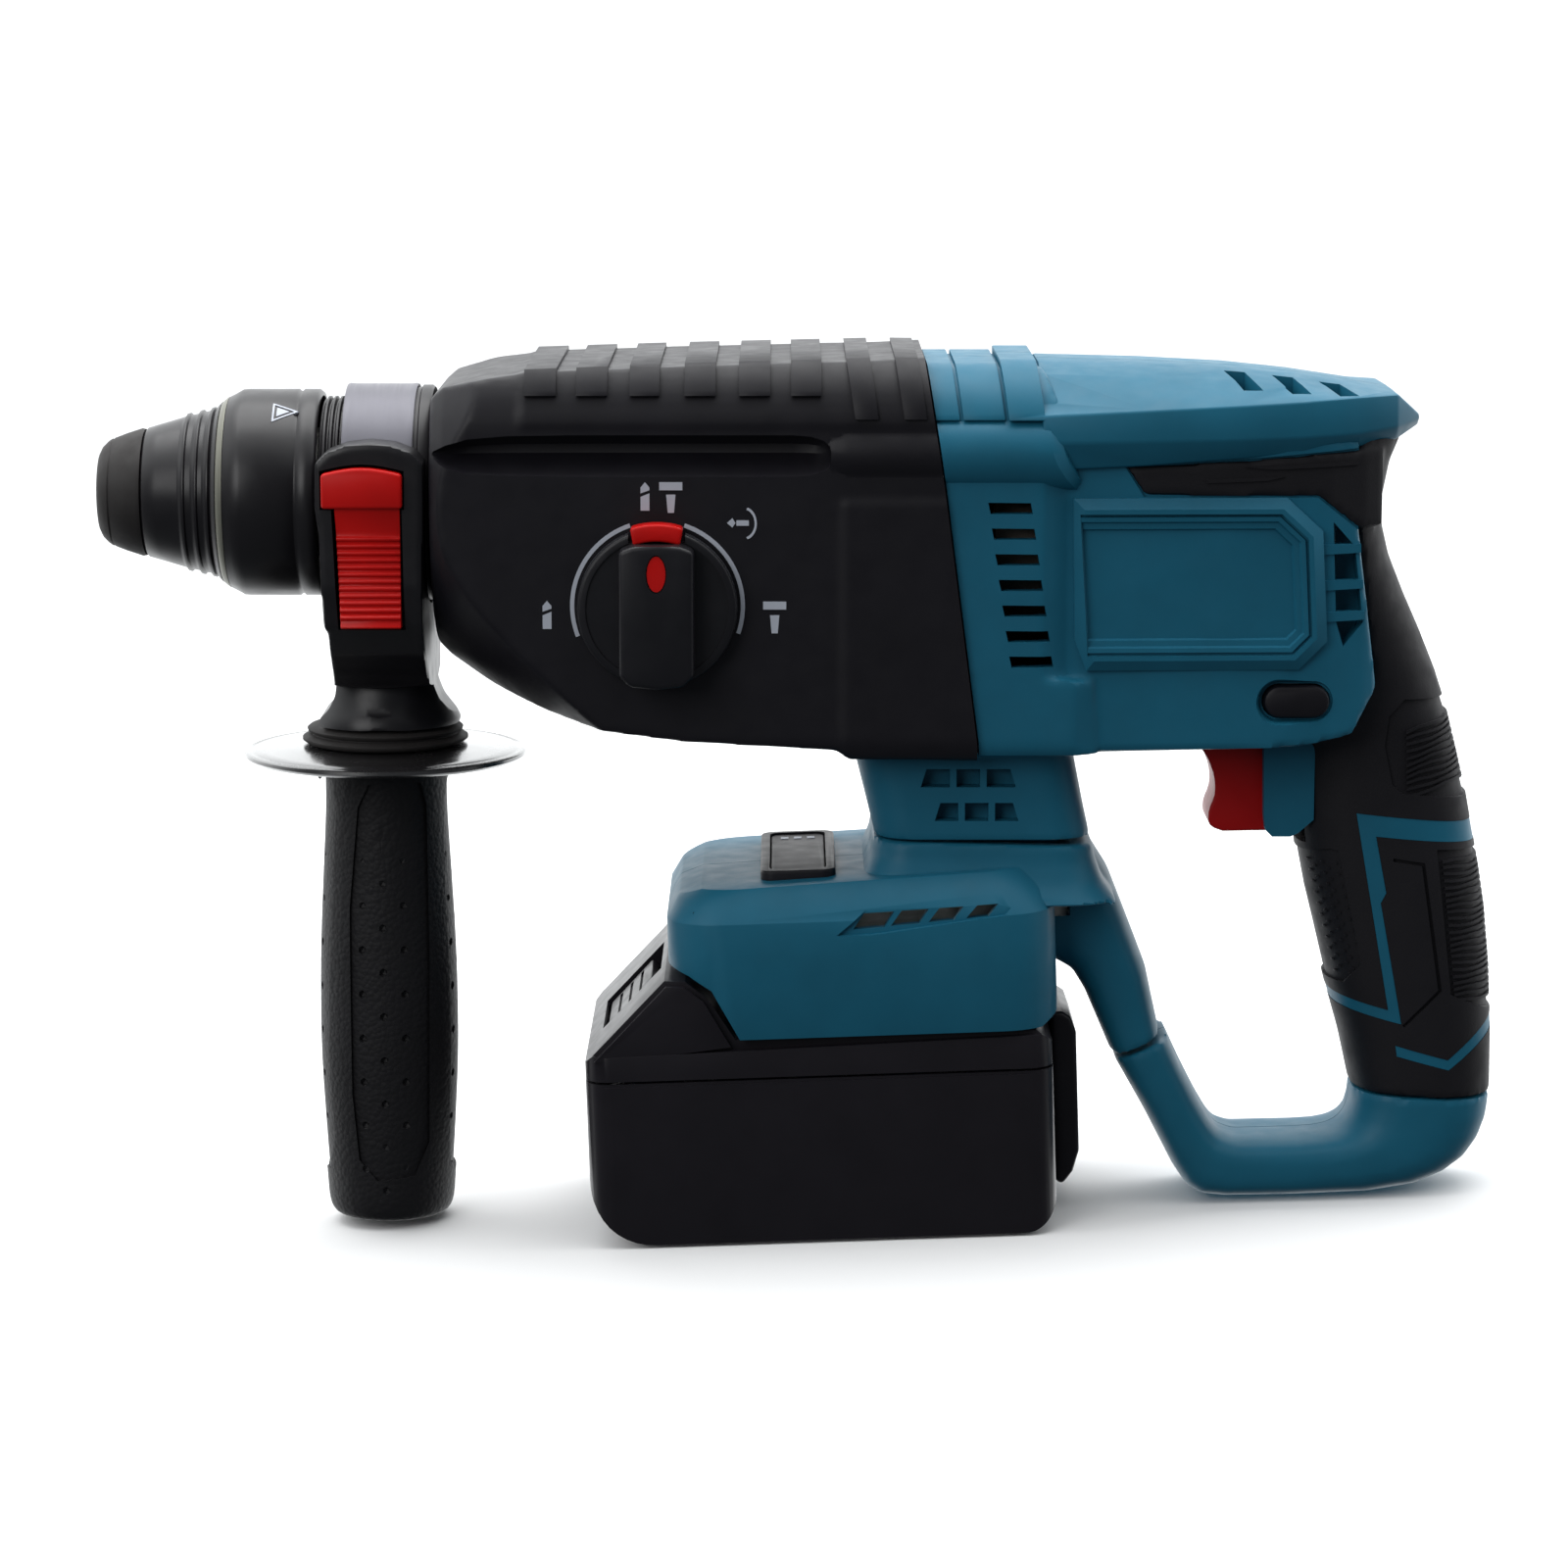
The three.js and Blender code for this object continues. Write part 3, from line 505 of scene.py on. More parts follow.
def lighter(colour: Colour, factor: float) -> Colour:
    """Scales a colour's brightness."""
    return tuple(min(1.0, channel * factor) for channel in colour)


@dataclass(frozen=True)
class Finish:
    """A surface: a colour that drifts slightly, a grain, and a gloss that wear makes uneven."""

    name: str
    slot: str
    colour: Colour
    roughness: float
    grain: float = 0.5
    depth: float = 0.02
    drift: float = 0.12
    specular: float = 0.4
    metallic: float = 0.0
    coat: float = 0.0
    stretch: Colour = (1, 1, 1)

    def material(self) -> bpy.types.Material:
        """Gives the finish's material, made at its first use."""
        known = bpy.data.materials.get(self.name)
        return known if known else self.make()

    def make(self) -> bpy.types.Material:
        """Builds the node tree: clouds for colour, patches for gloss, and a fine grain for bump."""
        nodes = Nodes(self.name)
        clouds = nodes.noise(18.0, 3.0)
        patches = nodes.noise(5.0, 5.0, self.stretch)
        fine = nodes.noise(self.grain, 3.0, self.stretch)
        colour = nodes.blend(nodes.spread(clouds, 0, 1), lighter(self.colour, 1 - self.drift),
                             lighter(self.colour, 1 + self.drift))
        nodes.wire(colour, nodes.shader.inputs["Base Color"])
        gloss = nodes.spread(patches, self.roughness * 0.88, min(1.0, self.roughness * 1.12))
        nodes.wire(gloss, nodes.shader.inputs["Roughness"])
        nodes.shader.inputs["Metallic"].default_value = self.metallic
        nodes.shader.inputs["Specular IOR Level"].default_value = self.specular
        nodes.shader.inputs["Coat Weight"].default_value = self.coat
        nodes.shader.inputs["Coat Roughness"].default_value = 0.15
        nodes.bump((fine, self.depth), (patches, self.depth * 1.5))
        return nodes.material


@dataclass(frozen=True)
class Speckled(Finish):
    """A finish with small raised dots moulded into it, as on the side handle's pads."""

    dot: float = 1.2

    def make(self) -> bpy.types.Material:
        """Adds the dots to the grain."""
        nodes = Nodes(self.name)
        clouds = nodes.noise(15.0, 3.0)
        fine = nodes.noise(self.grain, 3.0)
        cells = nodes.add("ShaderNodeTexVoronoi", feature="F1")
        cells.inputs["Scale"].default_value = 1 / (self.dot * MM)
        nodes.wire(nodes.place, cells.inputs["Vector"])
        colour = nodes.blend(nodes.spread(clouds, 0, 1), lighter(self.colour, 1 - self.drift),
                             lighter(self.colour, 1 + self.drift))
        nodes.wire(colour, nodes.shader.inputs["Base Color"])
        nodes.wire(nodes.spread(fine, self.roughness * 0.85, self.roughness),
                   nodes.shader.inputs["Roughness"])
        nodes.shader.inputs["Specular IOR Level"].default_value = self.specular
        nodes.bump((fine, self.depth), (cells.outputs["Distance"], -0.12))
        return nodes.material


HOUSING_BLACK = Finish("satin_black_housing", "matte_black", (0.0085, 0.0078, 0.0110), 0.46, 0.35, 0.010,
                       specular=0.26)
SLEEVE_BLACK = Finish("satin_black_sleeve", "sleeve_black", (0.010, 0.009, 0.011), 0.34, 0.4, 0.006,
                      specular=0.45)
COLLAR_BLACK = Finish("black_collar", "collar_black", (0.010, 0.009, 0.011), 0.4, 0.4, 0.006, specular=0.4)
TEAL = Finish("satin_teal_housing", "teal_housing", (0.0120, 0.132, 0.215), 0.46, 0.35, 0.010, 0.07,
              specular=0.22)
NOSE_RUBBER = Finish("matt_nose_rubber", "nose_rubber", (0.0185, 0.0160, 0.0155), 0.70, 0.6, 0.012,
                     specular=0.5)
GRIP_RUBBER = Finish("soft_grip_rubber", "grip_rubber", (0.0085, 0.0078, 0.0105), 0.62, 0.45, 0.03,
                     specular=0.3)
SIDE_RUBBER = Speckled("speckled_grip_rubber", "grip_rubber", (0.0085, 0.0080, 0.0095), 0.60, 0.5, 0.03,
                       specular=0.3)
BATTERY_BLACK = Finish("gloss_black_battery", "battery_gloss", (0.0150, 0.0135, 0.0170), 0.32, 0.9, 0.004,
                       0.1, 0.2)
RED = Finish("signal_red_plastic", "signal_red", (0.62, 0.006, 0.005), 0.36, 0.5, 0.008, 0.08, 0.22)
STRAP_STEEL = Finish("brushed_strap_steel", "satin_steel", (0.15, 0.148, 0.172), 0.42, 0.3, 0.006, 0.06,
                     0.35, 0.25, stretch=(6, 0.4, 0.4))
STEEL = Finish("turned_steel", "machined_steel", (0.34, 0.335, 0.33), 0.32, 0.3, 0.006, 0.1, 0.5, 1.0)
SCREW_STEEL = Finish("blackened_screw_steel", "screw_black", (0.05, 0.05, 0.055), 0.4, 0.3, 0.006, 0.15,
                     0.5, 0.9)
ALLOY = Finish("rough_cast_alloy", "cast_alloy", (0.42, 0.42, 0.43), 0.5, 0.8, 0.03, 0.1, 0.5, 0.9)
MOTOR_IRON = Finish("laminated_iron", "motor_iron", (0.15, 0.13, 0.11), 0.5, 0.3, 0.02, 0.2, 0.5, 0.8,
                    stretch=(12, 1, 1))
BOARD = Finish("green_board", "circuit_board", (0.02, 0.11, 0.045), 0.45, 0.8, 0.02, 0.3)
LENS = Finish("smoked_window", "smoked_lens", (0.066, 0.062, 0.064), 0.40, 1.0, 0.004, 0.3, 0.05)
CELL_WRAP = Finish("cell_wrap", "cell_sleeve", (0.04, 0.2, 0.38), 0.3, 1.0, 0.004, 0.1)
KNOB_BLACK = Finish("satin_knob", "matte_black", (0.008, 0.0078, 0.0105), 0.38, 0.4, 0.006, specular=0.35)
TRIM_BRASS = Finish("pale_trim_metal", "satin_steel", (0.20, 0.20, 0.165), 0.38, 0.3, 0.004, 0.08, 0.4, 0.4)
GUARD_BLACK = Finish("gloss_guard_black", "matte_black", (0.016, 0.015, 0.016), 0.26, 0.5, 0.0008,
                     specular=0.95, coat=1.0)
CLAMP_BLACK = Finish("satin_clamp_black", "matte_black", (0.0085, 0.0080, 0.0100), 0.36, 0.4, 0.006,
                     specular=0.4)
RED_DEEP = Finish("deep_red_trigger", "signal_red", (0.50, 0.005, 0.006), 0.40, 0.5, 0.008, 0.08, 0.22)
# Pale grey for the printed marks; the lamp's three pale spots use it too, as painted highlights.
PRINT_AND_HIGHLIGHT_GREY = Finish("grey_print_and_painted_highlight", "satin_steel", (0.50, 0.53, 0.60), 0.5, 0.3, 0.004, 0.06)
FINISHES = (HOUSING_BLACK, SLEEVE_BLACK, COLLAR_BLACK, TEAL, NOSE_RUBBER, GRIP_RUBBER, BATTERY_BLACK, RED,
            STRAP_STEEL, STEEL, SCREW_STEEL, ALLOY, MOTOR_IRON, BOARD, LENS, CELL_WRAP)


def deliver(shape: Shape, name: str, place: Place, finish: Finish, body: str,
            stands_for: Sequence[str] = (), sharp: float = 32.0) -> bpy.types.Object:
    """Turns a finished shape into a piece of the model.

    Args:
        shape: The shape, in millimetres of its place.
        name: The piece's name.
        place: The frame that it was modelled in.
        finish: Its finish.
        body: The body that it moves with.
        stands_for: The CAD nodes that it replaces.
        sharp: Edges above this angle, in degrees, stay crisp.

    Returns:
        The piece.
    """
    item = shape.item
    item.name = name
    item.data.name = name
    item.data.transform(place.matrix)
    item.data.shade_smooth()
    item.data.set_sharp_from_angle(angle=math.radians(sharp))
    item.data.materials.clear()
    item.data.materials.append(finish.material())
    if stands_for:
        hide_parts(*stands_for)
    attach(item, body)
    log.info("%s: %d faces on %s", name, len(item.data.polygons), body)
    return item


def dress_hidden_nodes() -> None:
    """Gives every CAD node the finish of its slot, for the inner pieces that stay as they are."""
    by_slot = {finish.slot: finish for finish in FINISHES}
    slots = {part["node"]: part["material_slot"] for part in frame["record"]["subparts"]}
    for name, node in frame["nodes"].items():
        node.data.materials.clear()
        node.data.materials.append(by_slot[slots[name]].material())


# ---- Studio ---------------------------------------------------------------------------------
@dataclass(frozen=True)
class Studio:
    """A pale floor, a large soft light overhead and a camera level with the tool."""

    aim: Vector = Vector((8.0, 0.0, -68.8))
    distance: float = 1115.0
    pitch: float = math.radians(9.85)
    focal: float = 109.1
    sensor: float = 36.0
    dark_sky: Colour = (0.06, 0.065, 0.07)
    bright_sky: Colour = (0.97, 0.99, 1.0)
    sky_strength: float = 1.75

    def camera(self) -> None:
        """Sets up the camera in the barrel's frame, so that the barrel lies level in the picture."""
        data = bpy.data.cameras.new("camera")
        data.lens = self.focal
        data.sensor_width = self.sensor
        data.clip_end = 100
        item = bpy.data.objects.new("camera", data)
        bpy.context.scene.collection.objects.link(item)
        across = Vector((1, 0, 0))
        back = Vector((0, -math.cos(self.pitch), math.sin(self.pitch)))
        turn = Matrix((across, back.cross(across), back)).transposed().to_4x4()
        place = BARREL.matrix.copy()
        spot = place @ (self.aim + back * self.distance)
        rotation = place.to_3x3().normalized().to_4x4() @ turn
        item.matrix_world = Matrix.Translation(spot) @ rotation
        bpy.context.scene.camera = item

    def floor(self) -> None:
        """Lays the pale floor at the height that the battery stands on."""
        mesh = bmesh.new()
        bmesh.ops.create_grid(mesh, x_segments=1, y_segments=1, size=30)
        data = bpy.data.meshes.new("floor")
        mesh.to_mesh(data)
        mesh.free()
        item = bpy.data.objects.new("floor", data)
        item.location.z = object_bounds()[0][2] - 0.0002
        bpy.context.scene.collection.objects.link(item)
        nodes = Nodes("pale_floor")
        shade = nodes.blend(nodes.noise(900.0, 2.0), (0.86, 0.86, 0.86), (0.9, 0.9, 0.9))
        nodes.wire(shade, nodes.shader.inputs["Base Color"])
        nodes.shader.inputs["Roughness"].default_value = 0.9
        nodes.shader.inputs["Specular IOR Level"].default_value = 0.0
        data.materials.append(nodes.material)
        item.visible_glossy = False
        item.visible_diffuse = False
        item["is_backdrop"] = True

    def lamp(self, name: str, spot: Vector, target: Vector, size: Point, power: float) -> None:
        """Hangs one soft rectangular light.

        Args:
            name: The light's name.
            spot: Where it hangs, in metres.
            target: What it faces.
            size: Its width and height, in metres.
            power: Its power, in watts.
        """
        data = bpy.data.lights.new(name, "AREA")
        data.shape = "RECTANGLE"
        data.size, data.size_y = size
        data.energy = power
        item = bpy.data.objects.new(name, data)
        item.location = spot
        item.rotation_euler = (target - spot).to_track_quat("-Z", "Y").to_euler()
        bpy.context.scene.collection.objects.link(item)

    def sky(self) -> None:
        """Sets a world that is bright behind and above the tool and dark in front of it and below."""
        world = bpy.data.worlds.new("studio")
        world.use_nodes = True
        tree = world.node_tree
        direction = tree.nodes.new("ShaderNodeTexCoord").outputs["Generated"]
        weights = tree.nodes.new("ShaderNodeVectorMath")
        weights.operation = "DOT_PRODUCT"
        weights.inputs[1].default_value = (0.0, 0.85, 0.53)
        tree.links.new(direction, weights.inputs[0])
        ramp = tree.nodes.new("ShaderNodeValToRGB")
        ramp.color_ramp.interpolation = "EASE"
        ramp.color_ramp.elements[0].position = 0.30
        ramp.color_ramp.elements[0].color = (*self.dark_sky, 1)
        ramp.color_ramp.elements[1].position = 0.72
        ramp.color_ramp.elements[1].color = (*self.bright_sky, 1)
        shift = tree.nodes.new("ShaderNodeMapRange")
        shift.inputs["From Min"].default_value = -1.0
        tree.links.new(weights.outputs["Value"], shift.inputs["Value"])
        tree.links.new(shift.outputs["Result"], ramp.inputs["Fac"])
        back = tree.nodes["Background"]
        tree.links.new(ramp.outputs["Color"], back.inputs["Color"])
        back.inputs["Strength"].default_value = self.sky_strength
        bpy.context.scene.world = world

    def lights(self) -> None:
        """Hangs the overhead light and a front light on the camera's side."""
        middle = Vector((0.01, 0, 0.11))
        self.lamp("overhead", Vector((0.0, 0.25, 1.4)), middle, (1.6, 1.0), 15)
        self.lamp("front", Vector((-0.9, -1.5, 0.9)), middle, (1.0, 1.0), 10)

    def build(self) -> None:
        """Sets up the whole studio and a plain view transform."""
        self.camera()
        self.floor()
        self.sky()
        self.lights()
        bpy.context.scene.view_settings.view_transform = "Standard"


# ---- Chuck ----------------------------------------------------------------------------------
@dataclass(frozen=True)
class Chuck:
    """The rubber nose, the pull-back sleeve with its trim ring, and the collar behind it."""

    nose_tip: float = -150.4
    sleeve_front: float = -139.6
    sleeve_rear: float = -98.6
    sleeve_radius: float = 23.9
    bore: float = 17.0
    ridges: tuple[float, ...] = (-129.6, -126.6, -123.9)
    collar_front: float = -92.9
    collar_rear: float = -72.7
    collar_radius: float = 24.4

    def nose(self) -> None:
        """Spins the rubber nose with its rolled lip and the mouth that the bit goes into."""
        tip, rear = self.nose_tip, self.sleeve_front - 0.3
        profile = [(tip + 2.6, 6.0), (tip + 0.6, 6.4), (tip, 7.4), (tip, 9.2), (tip + 0.7, 10.6),
                   (tip + 2, 11.9), (tip + 2.8, 12.4), (tip + 3.1, 12.3), (tip + 3.4, 12.6),
                   (tip + 6, 13.6), (rear - 0.8, 14.8), (rear, 14.6), (rear, 10.2), (tip + 3.4, 10.2),
                   (tip + 3.4, 6.0)]
        nose = spun(profile)
        deliver(nose, "nose_cap_rubber", BARREL, NOSE_RUBBER, "spindle_group", ["nose_cap"], sharp=50)

    def sleeve(self) -> None:
        """Spins the sleeve: a cone with rings, a flare, and a drum with a finger groove."""
        front, rear, radius = self.sleeve_front, self.sleeve_rear, self.sleeve_radius
        profile = [(front, 11.2), (front, 14.4), (front + 0.5, 15.0), (front + 3.6, 15.9)]
        slope = 0.235
        for middle in self.ridges:
            base = 15.9 + (middle - front - 3.6) * slope
            profile += [(middle - 1.3, base), (middle - 0.8, base + 0.15), (middle - 0.35, base + 0.85),
                        (middle + 0.25, base + 0.95), (middle + 0.6, base + 0.5)]
        profile += [(-122.6, 20.3), (-121.9, 20.9), (-121.8, 19.2), (-120.1, 19.2), (-120.0, 22.2),
                    (-118.6, 22.9), (-117.0, radius - 0.1), (-115.8, radius), (rear - 5.6, radius),
                    (rear - 5.2, radius - 0.45), (rear - 4.6, radius - 0.45), (rear - 4.2, radius),
                    (rear - 0.8, radius), (rear, radius - 0.7), (rear, 22.4), (-114.0, 22.4),
                    (-119.0, self.bore), (-136.0, 14.0), (-136.0, 11.2)]
        sleeve = spun(profile, 144)
        arrow = [(-109.0, 3.3), (-103.0, 0.0), (-109.0, -3.3)]
        mark = prism(arrow, -radius - 0.35, -radius + 3).cut(prism(inset(arrow, 0.42), -radius - 1,
                                                                   -radius + 4))
        mark.gather(prism(inset(arrow, 1.0), -radius - 0.35, -radius + 3)).turned(-56, Vector((0, 0, 0)), "X")
        deliver(sleeve, "pull_back_sleeve", BARREL, SLEEVE_BLACK, "sleeve", ["chuck_sleeve"], sharp=50)
        mark.meet(spun([(-112, radius - 0.4), (-112, radius + 0.16), (-100, radius + 0.16),
                        (-100, radius - 0.4)], 144))
        deliver(mark, "sleeve_arrow_mark", BARREL, PRINT_AND_HIGHLIGHT_GREY, "sleeve")

    def trim_ring(self) -> None:
        """Spins the bright ring let into the sleeve's flare."""
        profile = [(-121.75, 19.3), (-121.75, 20.9), (-121.4, 21.3), (-120.5, 22.0), (-120.15, 22.1),
                   (-120.15, 19.3)]
        deliver(spun(profile, 144), "sleeve_bright_ring", BARREL, TRIM_BRASS, "sleeve",
                ["sleeve_trim_ring"], sharp=50)

    def seal(self) -> None:
        """Spins the ribbed dust seal between the sleeve and the collar."""
        profile = [(-98.3, 16.0), (-98.3, 21.2), (-98.0, 21.6)]
        for i in range(3):
            start = -97.6 + i * 1.45
            profile += [(start, 21.4), (start + 0.35, 22.3), (start + 0.8, 22.3), (start + 1.15, 21.4)]
        profile += [(-93.2, 21.4), (-93.2, 16.0)]
        deliver(spun(profile, 96), "ribbed_dust_seal", BARREL, COLLAR_BLACK, "housing", ["front_seal"],
                sharp=60)

    def collar(self) -> None:
        """Spins the collar: it narrows under the clamp strap and ends in a stepped ring."""
        front, rear, radius = self.collar_front, self.collar_rear, self.collar_radius
        profile = [(front, 16.1), (front, radius - 0.7), (front + 0.4, radius - 0.2), (front + 0.9, radius),
                   (rear - 2.9, radius), (rear - 2.6, radius + 0.5), (rear - 0.6, radius + 0.5),
                   (rear, radius), (rear, 16.1)]
        deliver(spun(profile, 144), "barrel_collar", BARREL, COLLAR_BLACK, "housing", ["collar"], sharp=50)

    def build(self) -> None:
        """Builds the whole chuck."""
        self.nose()
        self.sleeve()
        self.trim_ring()
        self.seal()
        self.collar()


# ---- Gear housing ---------------------------------------------------------------------------
def shoulder_ring(side: int, x: float, share: float, lean: float = 0.0, sweep: float = 0.0) -> list[Vector]:
    """Gives one ring of the half-round shoulder that runs along both sides of the housings.

    Args:
        side: -1 for the left side, 1 for the right.
        x: Where the ring stands, at height 4.4.
        share: Its size, as a share of the full shoulder.
        lean: How far it leans forward for each millimetre of height.
        sweep: How far its foot sweeps back.

    Returns:
        The ring's points.
    """
    middle, half, inner, reach = 12.4, 8.7, 29.6, 8.6
    arc = [(inner + reach * share * math.sin(a), middle + half * share * math.cos(a))
           for a in (math.pi * i / 20 for i in range(21))]
    ring = []
    for y, z in [(22.0, middle + half * share), *arc, (22.0, middle - half * share)]:
        fall = (middle + half - z) / (2 * half)
        ring.append(Vector((x + lean * (z - 4.4) + sweep * (fall * fall * 2 - fall), side * y, z)))
    return ring


@dataclass(frozen=True)
class GearHousing:
    """The black front housing: ribs over the top, a long groove each side and a shoulder behind it."""

    outline: tuple[Point, ...] = (
        (-72, 24.0), (-69, 26.6), (-60, 28.8), (-52, 29.9), (-14.6, 31.2), (30.6, 32.4), (41.7, 33.5),
        (46.2, 4.4), (53.8, -53.6), (53.9, -57.0), (23, -56.6), (19.5, -54.9), (-14.9, -52.8), (-33.3, -50.4),
        (-47, -47.4), (-60.7, -42.8), (-69.8, -37.7), (-72, -33))
    half: float = 36.8
    top_corner: float = 17.0
    bottom_corner: float = 8.0
    wall: float = 3.0
    taper: tuple[Point, ...] = ((-72, 34.6), (-69, 37.6), (-62, 42.5), (-48, 52), (-32, 63), (-10, 78),
                                (60, 90))
    ribs: tuple[Point, ...] = ((-50.3, -43.1), (-38.6, -31.6), (-26.6, -19.9), (-14.3, -7.3), (-2.1, 4.9),
                               (9.6, 16.4))
    rib_end: float = 25.6
    bands: tuple[tuple[float, float, float], ...] = ((21.6, 27.0, 20.4), (32.6, 37.8, 20.4))
    groove_rear: float = 18.6

    def envelope(self, grow: float) -> Shape:
        """Shapes the housing's solid form.

        Args:
            grow: How far the surface moves outwards, in millimetres; the seam with the body stays.

        Returns:
            The form.
        """
        rear = [p for p in self.outline if 39 < p[0] and p[1] > -54]
        back = 2.0 if grow < 0 else 0.0
        grown = [(p[0] + back, p[1]) if p in rear else moved
                 for p, moved in zip(self.outline, inset(self.outline, -grow))]
        side = prism(grown, -self.half - 6, self.half + 6)
        cross = rounded_box((-self.half - grow, self.half + grow), (-60, 34.0 + grow),
                            (self.bottom_corner, self.top_corner), 12)
        taper = [(-80.0, 0.0), (-80.0, self.taper[0][1] + grow), *((x, r + grow) for x, r in self.taper),
                 (60.0, 0.0)]
        return side.meet(prism(cross, -80, 60, Plane.CROSS), spun(taper, 128))

    def proud(self, height: float, blocks: Sequence[Shape]) -> Shape:
        """Gives the parts of the envelope inside some blocks, standing proud by a height."""
        return self.envelope(height).meet(blocks[0].gather(*blocks[1:]))

    def groove(self, side: int) -> Shape:
        """Lofts the cutter for the long groove: deep under its top edge, sloping out to its lower lip."""
        rings = []
        stations = ((-71.5, 0.15, 34.3), (-68, 0.5, 34.8), (-63, 0.8, 36.0), (-54, 0.96, self.half),
                    (-40, 1.0, self.half), (10, 1.0, self.half), (14.2, 0.93, self.half),
                    (17, 0.74, self.half), (18.3, 0.5, self.half), (self.groove_rear, 0.25, self.half))
        section = ((8.0, 5.0), (1.0, 5.0), (-5.6, 4.6), (-6.8, 2.4), (-6.2, 0.4), (-1.4, -3.7), (1.0, -4.9),
                   (8.0, -7.0))
        for x, share, surface in stations:
            rings.append([Vector((x, side * (surface + dy * (share if dy < 0 else 1)), 11.9 + dz * share))
                          for dy, dz in section])
        return loft(rings)

    def shell(self) -> Shape:
        """Moulds the shell's form and adds its crisp ribs, bands and shoulders, then cuts the grooves."""
        form = self.envelope(0)
        form.gather(self.proud(0.4, [block((-51.2, 45), (-60, 60), (19.0, 40))]),
                    self.proud(0.5, [block((21.5, 60), (-60, 60), (-70, 1.6))]))
        form.mould(0.85, 2)
        form.join(self.proud(1.25, [block(rib, (-60, 60), (self.rib_end, 40))
                                    for rib in self.ribs]).soften(0.25, 2, 40))
        form.join(self.proud(1.25, [prism([(start, 45), (start, 36), (start + 2.4, low), (end + 2.2, low),
                                           (end, 36),
                                           (end, 45)], -60, 60)
                                    for start, end, low in self.bands]).soften(0.25, 2, 40))
        for side in (-1, 1):
            rings = [shoulder_ring(side, x, share) for x, share in
                     ((9.5, 0.1), (12.0, 0.42), (15.0, 0.72), (18.5, 0.92), (22.5, 1.0), (36.0, 1.0))]
            rings.append(shoulder_ring(side, 45.8, 1.0, -0.155))
            form.join(loft(rings))
        return form.cut(self.groove(-1), self.groove(1))

    def build(self) -> None:
        """Builds the housing."""
        form = self.shell()
        room = self.envelope(-self.wall)
        room.cut(block((-80, 21), (-60, -26.6), (2.5, 20.5)), block((-80, 21), (26.6, 60), (2.5, 20.5)))
        form.cut(room)
        form.cut(prism([(38.0, 45), (39.7, 33.4), (44.2, 4.4), (51.8, -53.6), (51.9, -70), (75, -70),
                        (75, 45)], -60, 60))
        form.cut(spun([(-76, 0.0), (-76, 24.0), (-60, 24.0), (-60, 0.0)], 96),
                 pin((-20.5, -21.7), -45, -25, 6.4))
        deliver(form, "gear_housing_shell", BARREL, HOUSING_BLACK, "housing", ["gear_housing"])


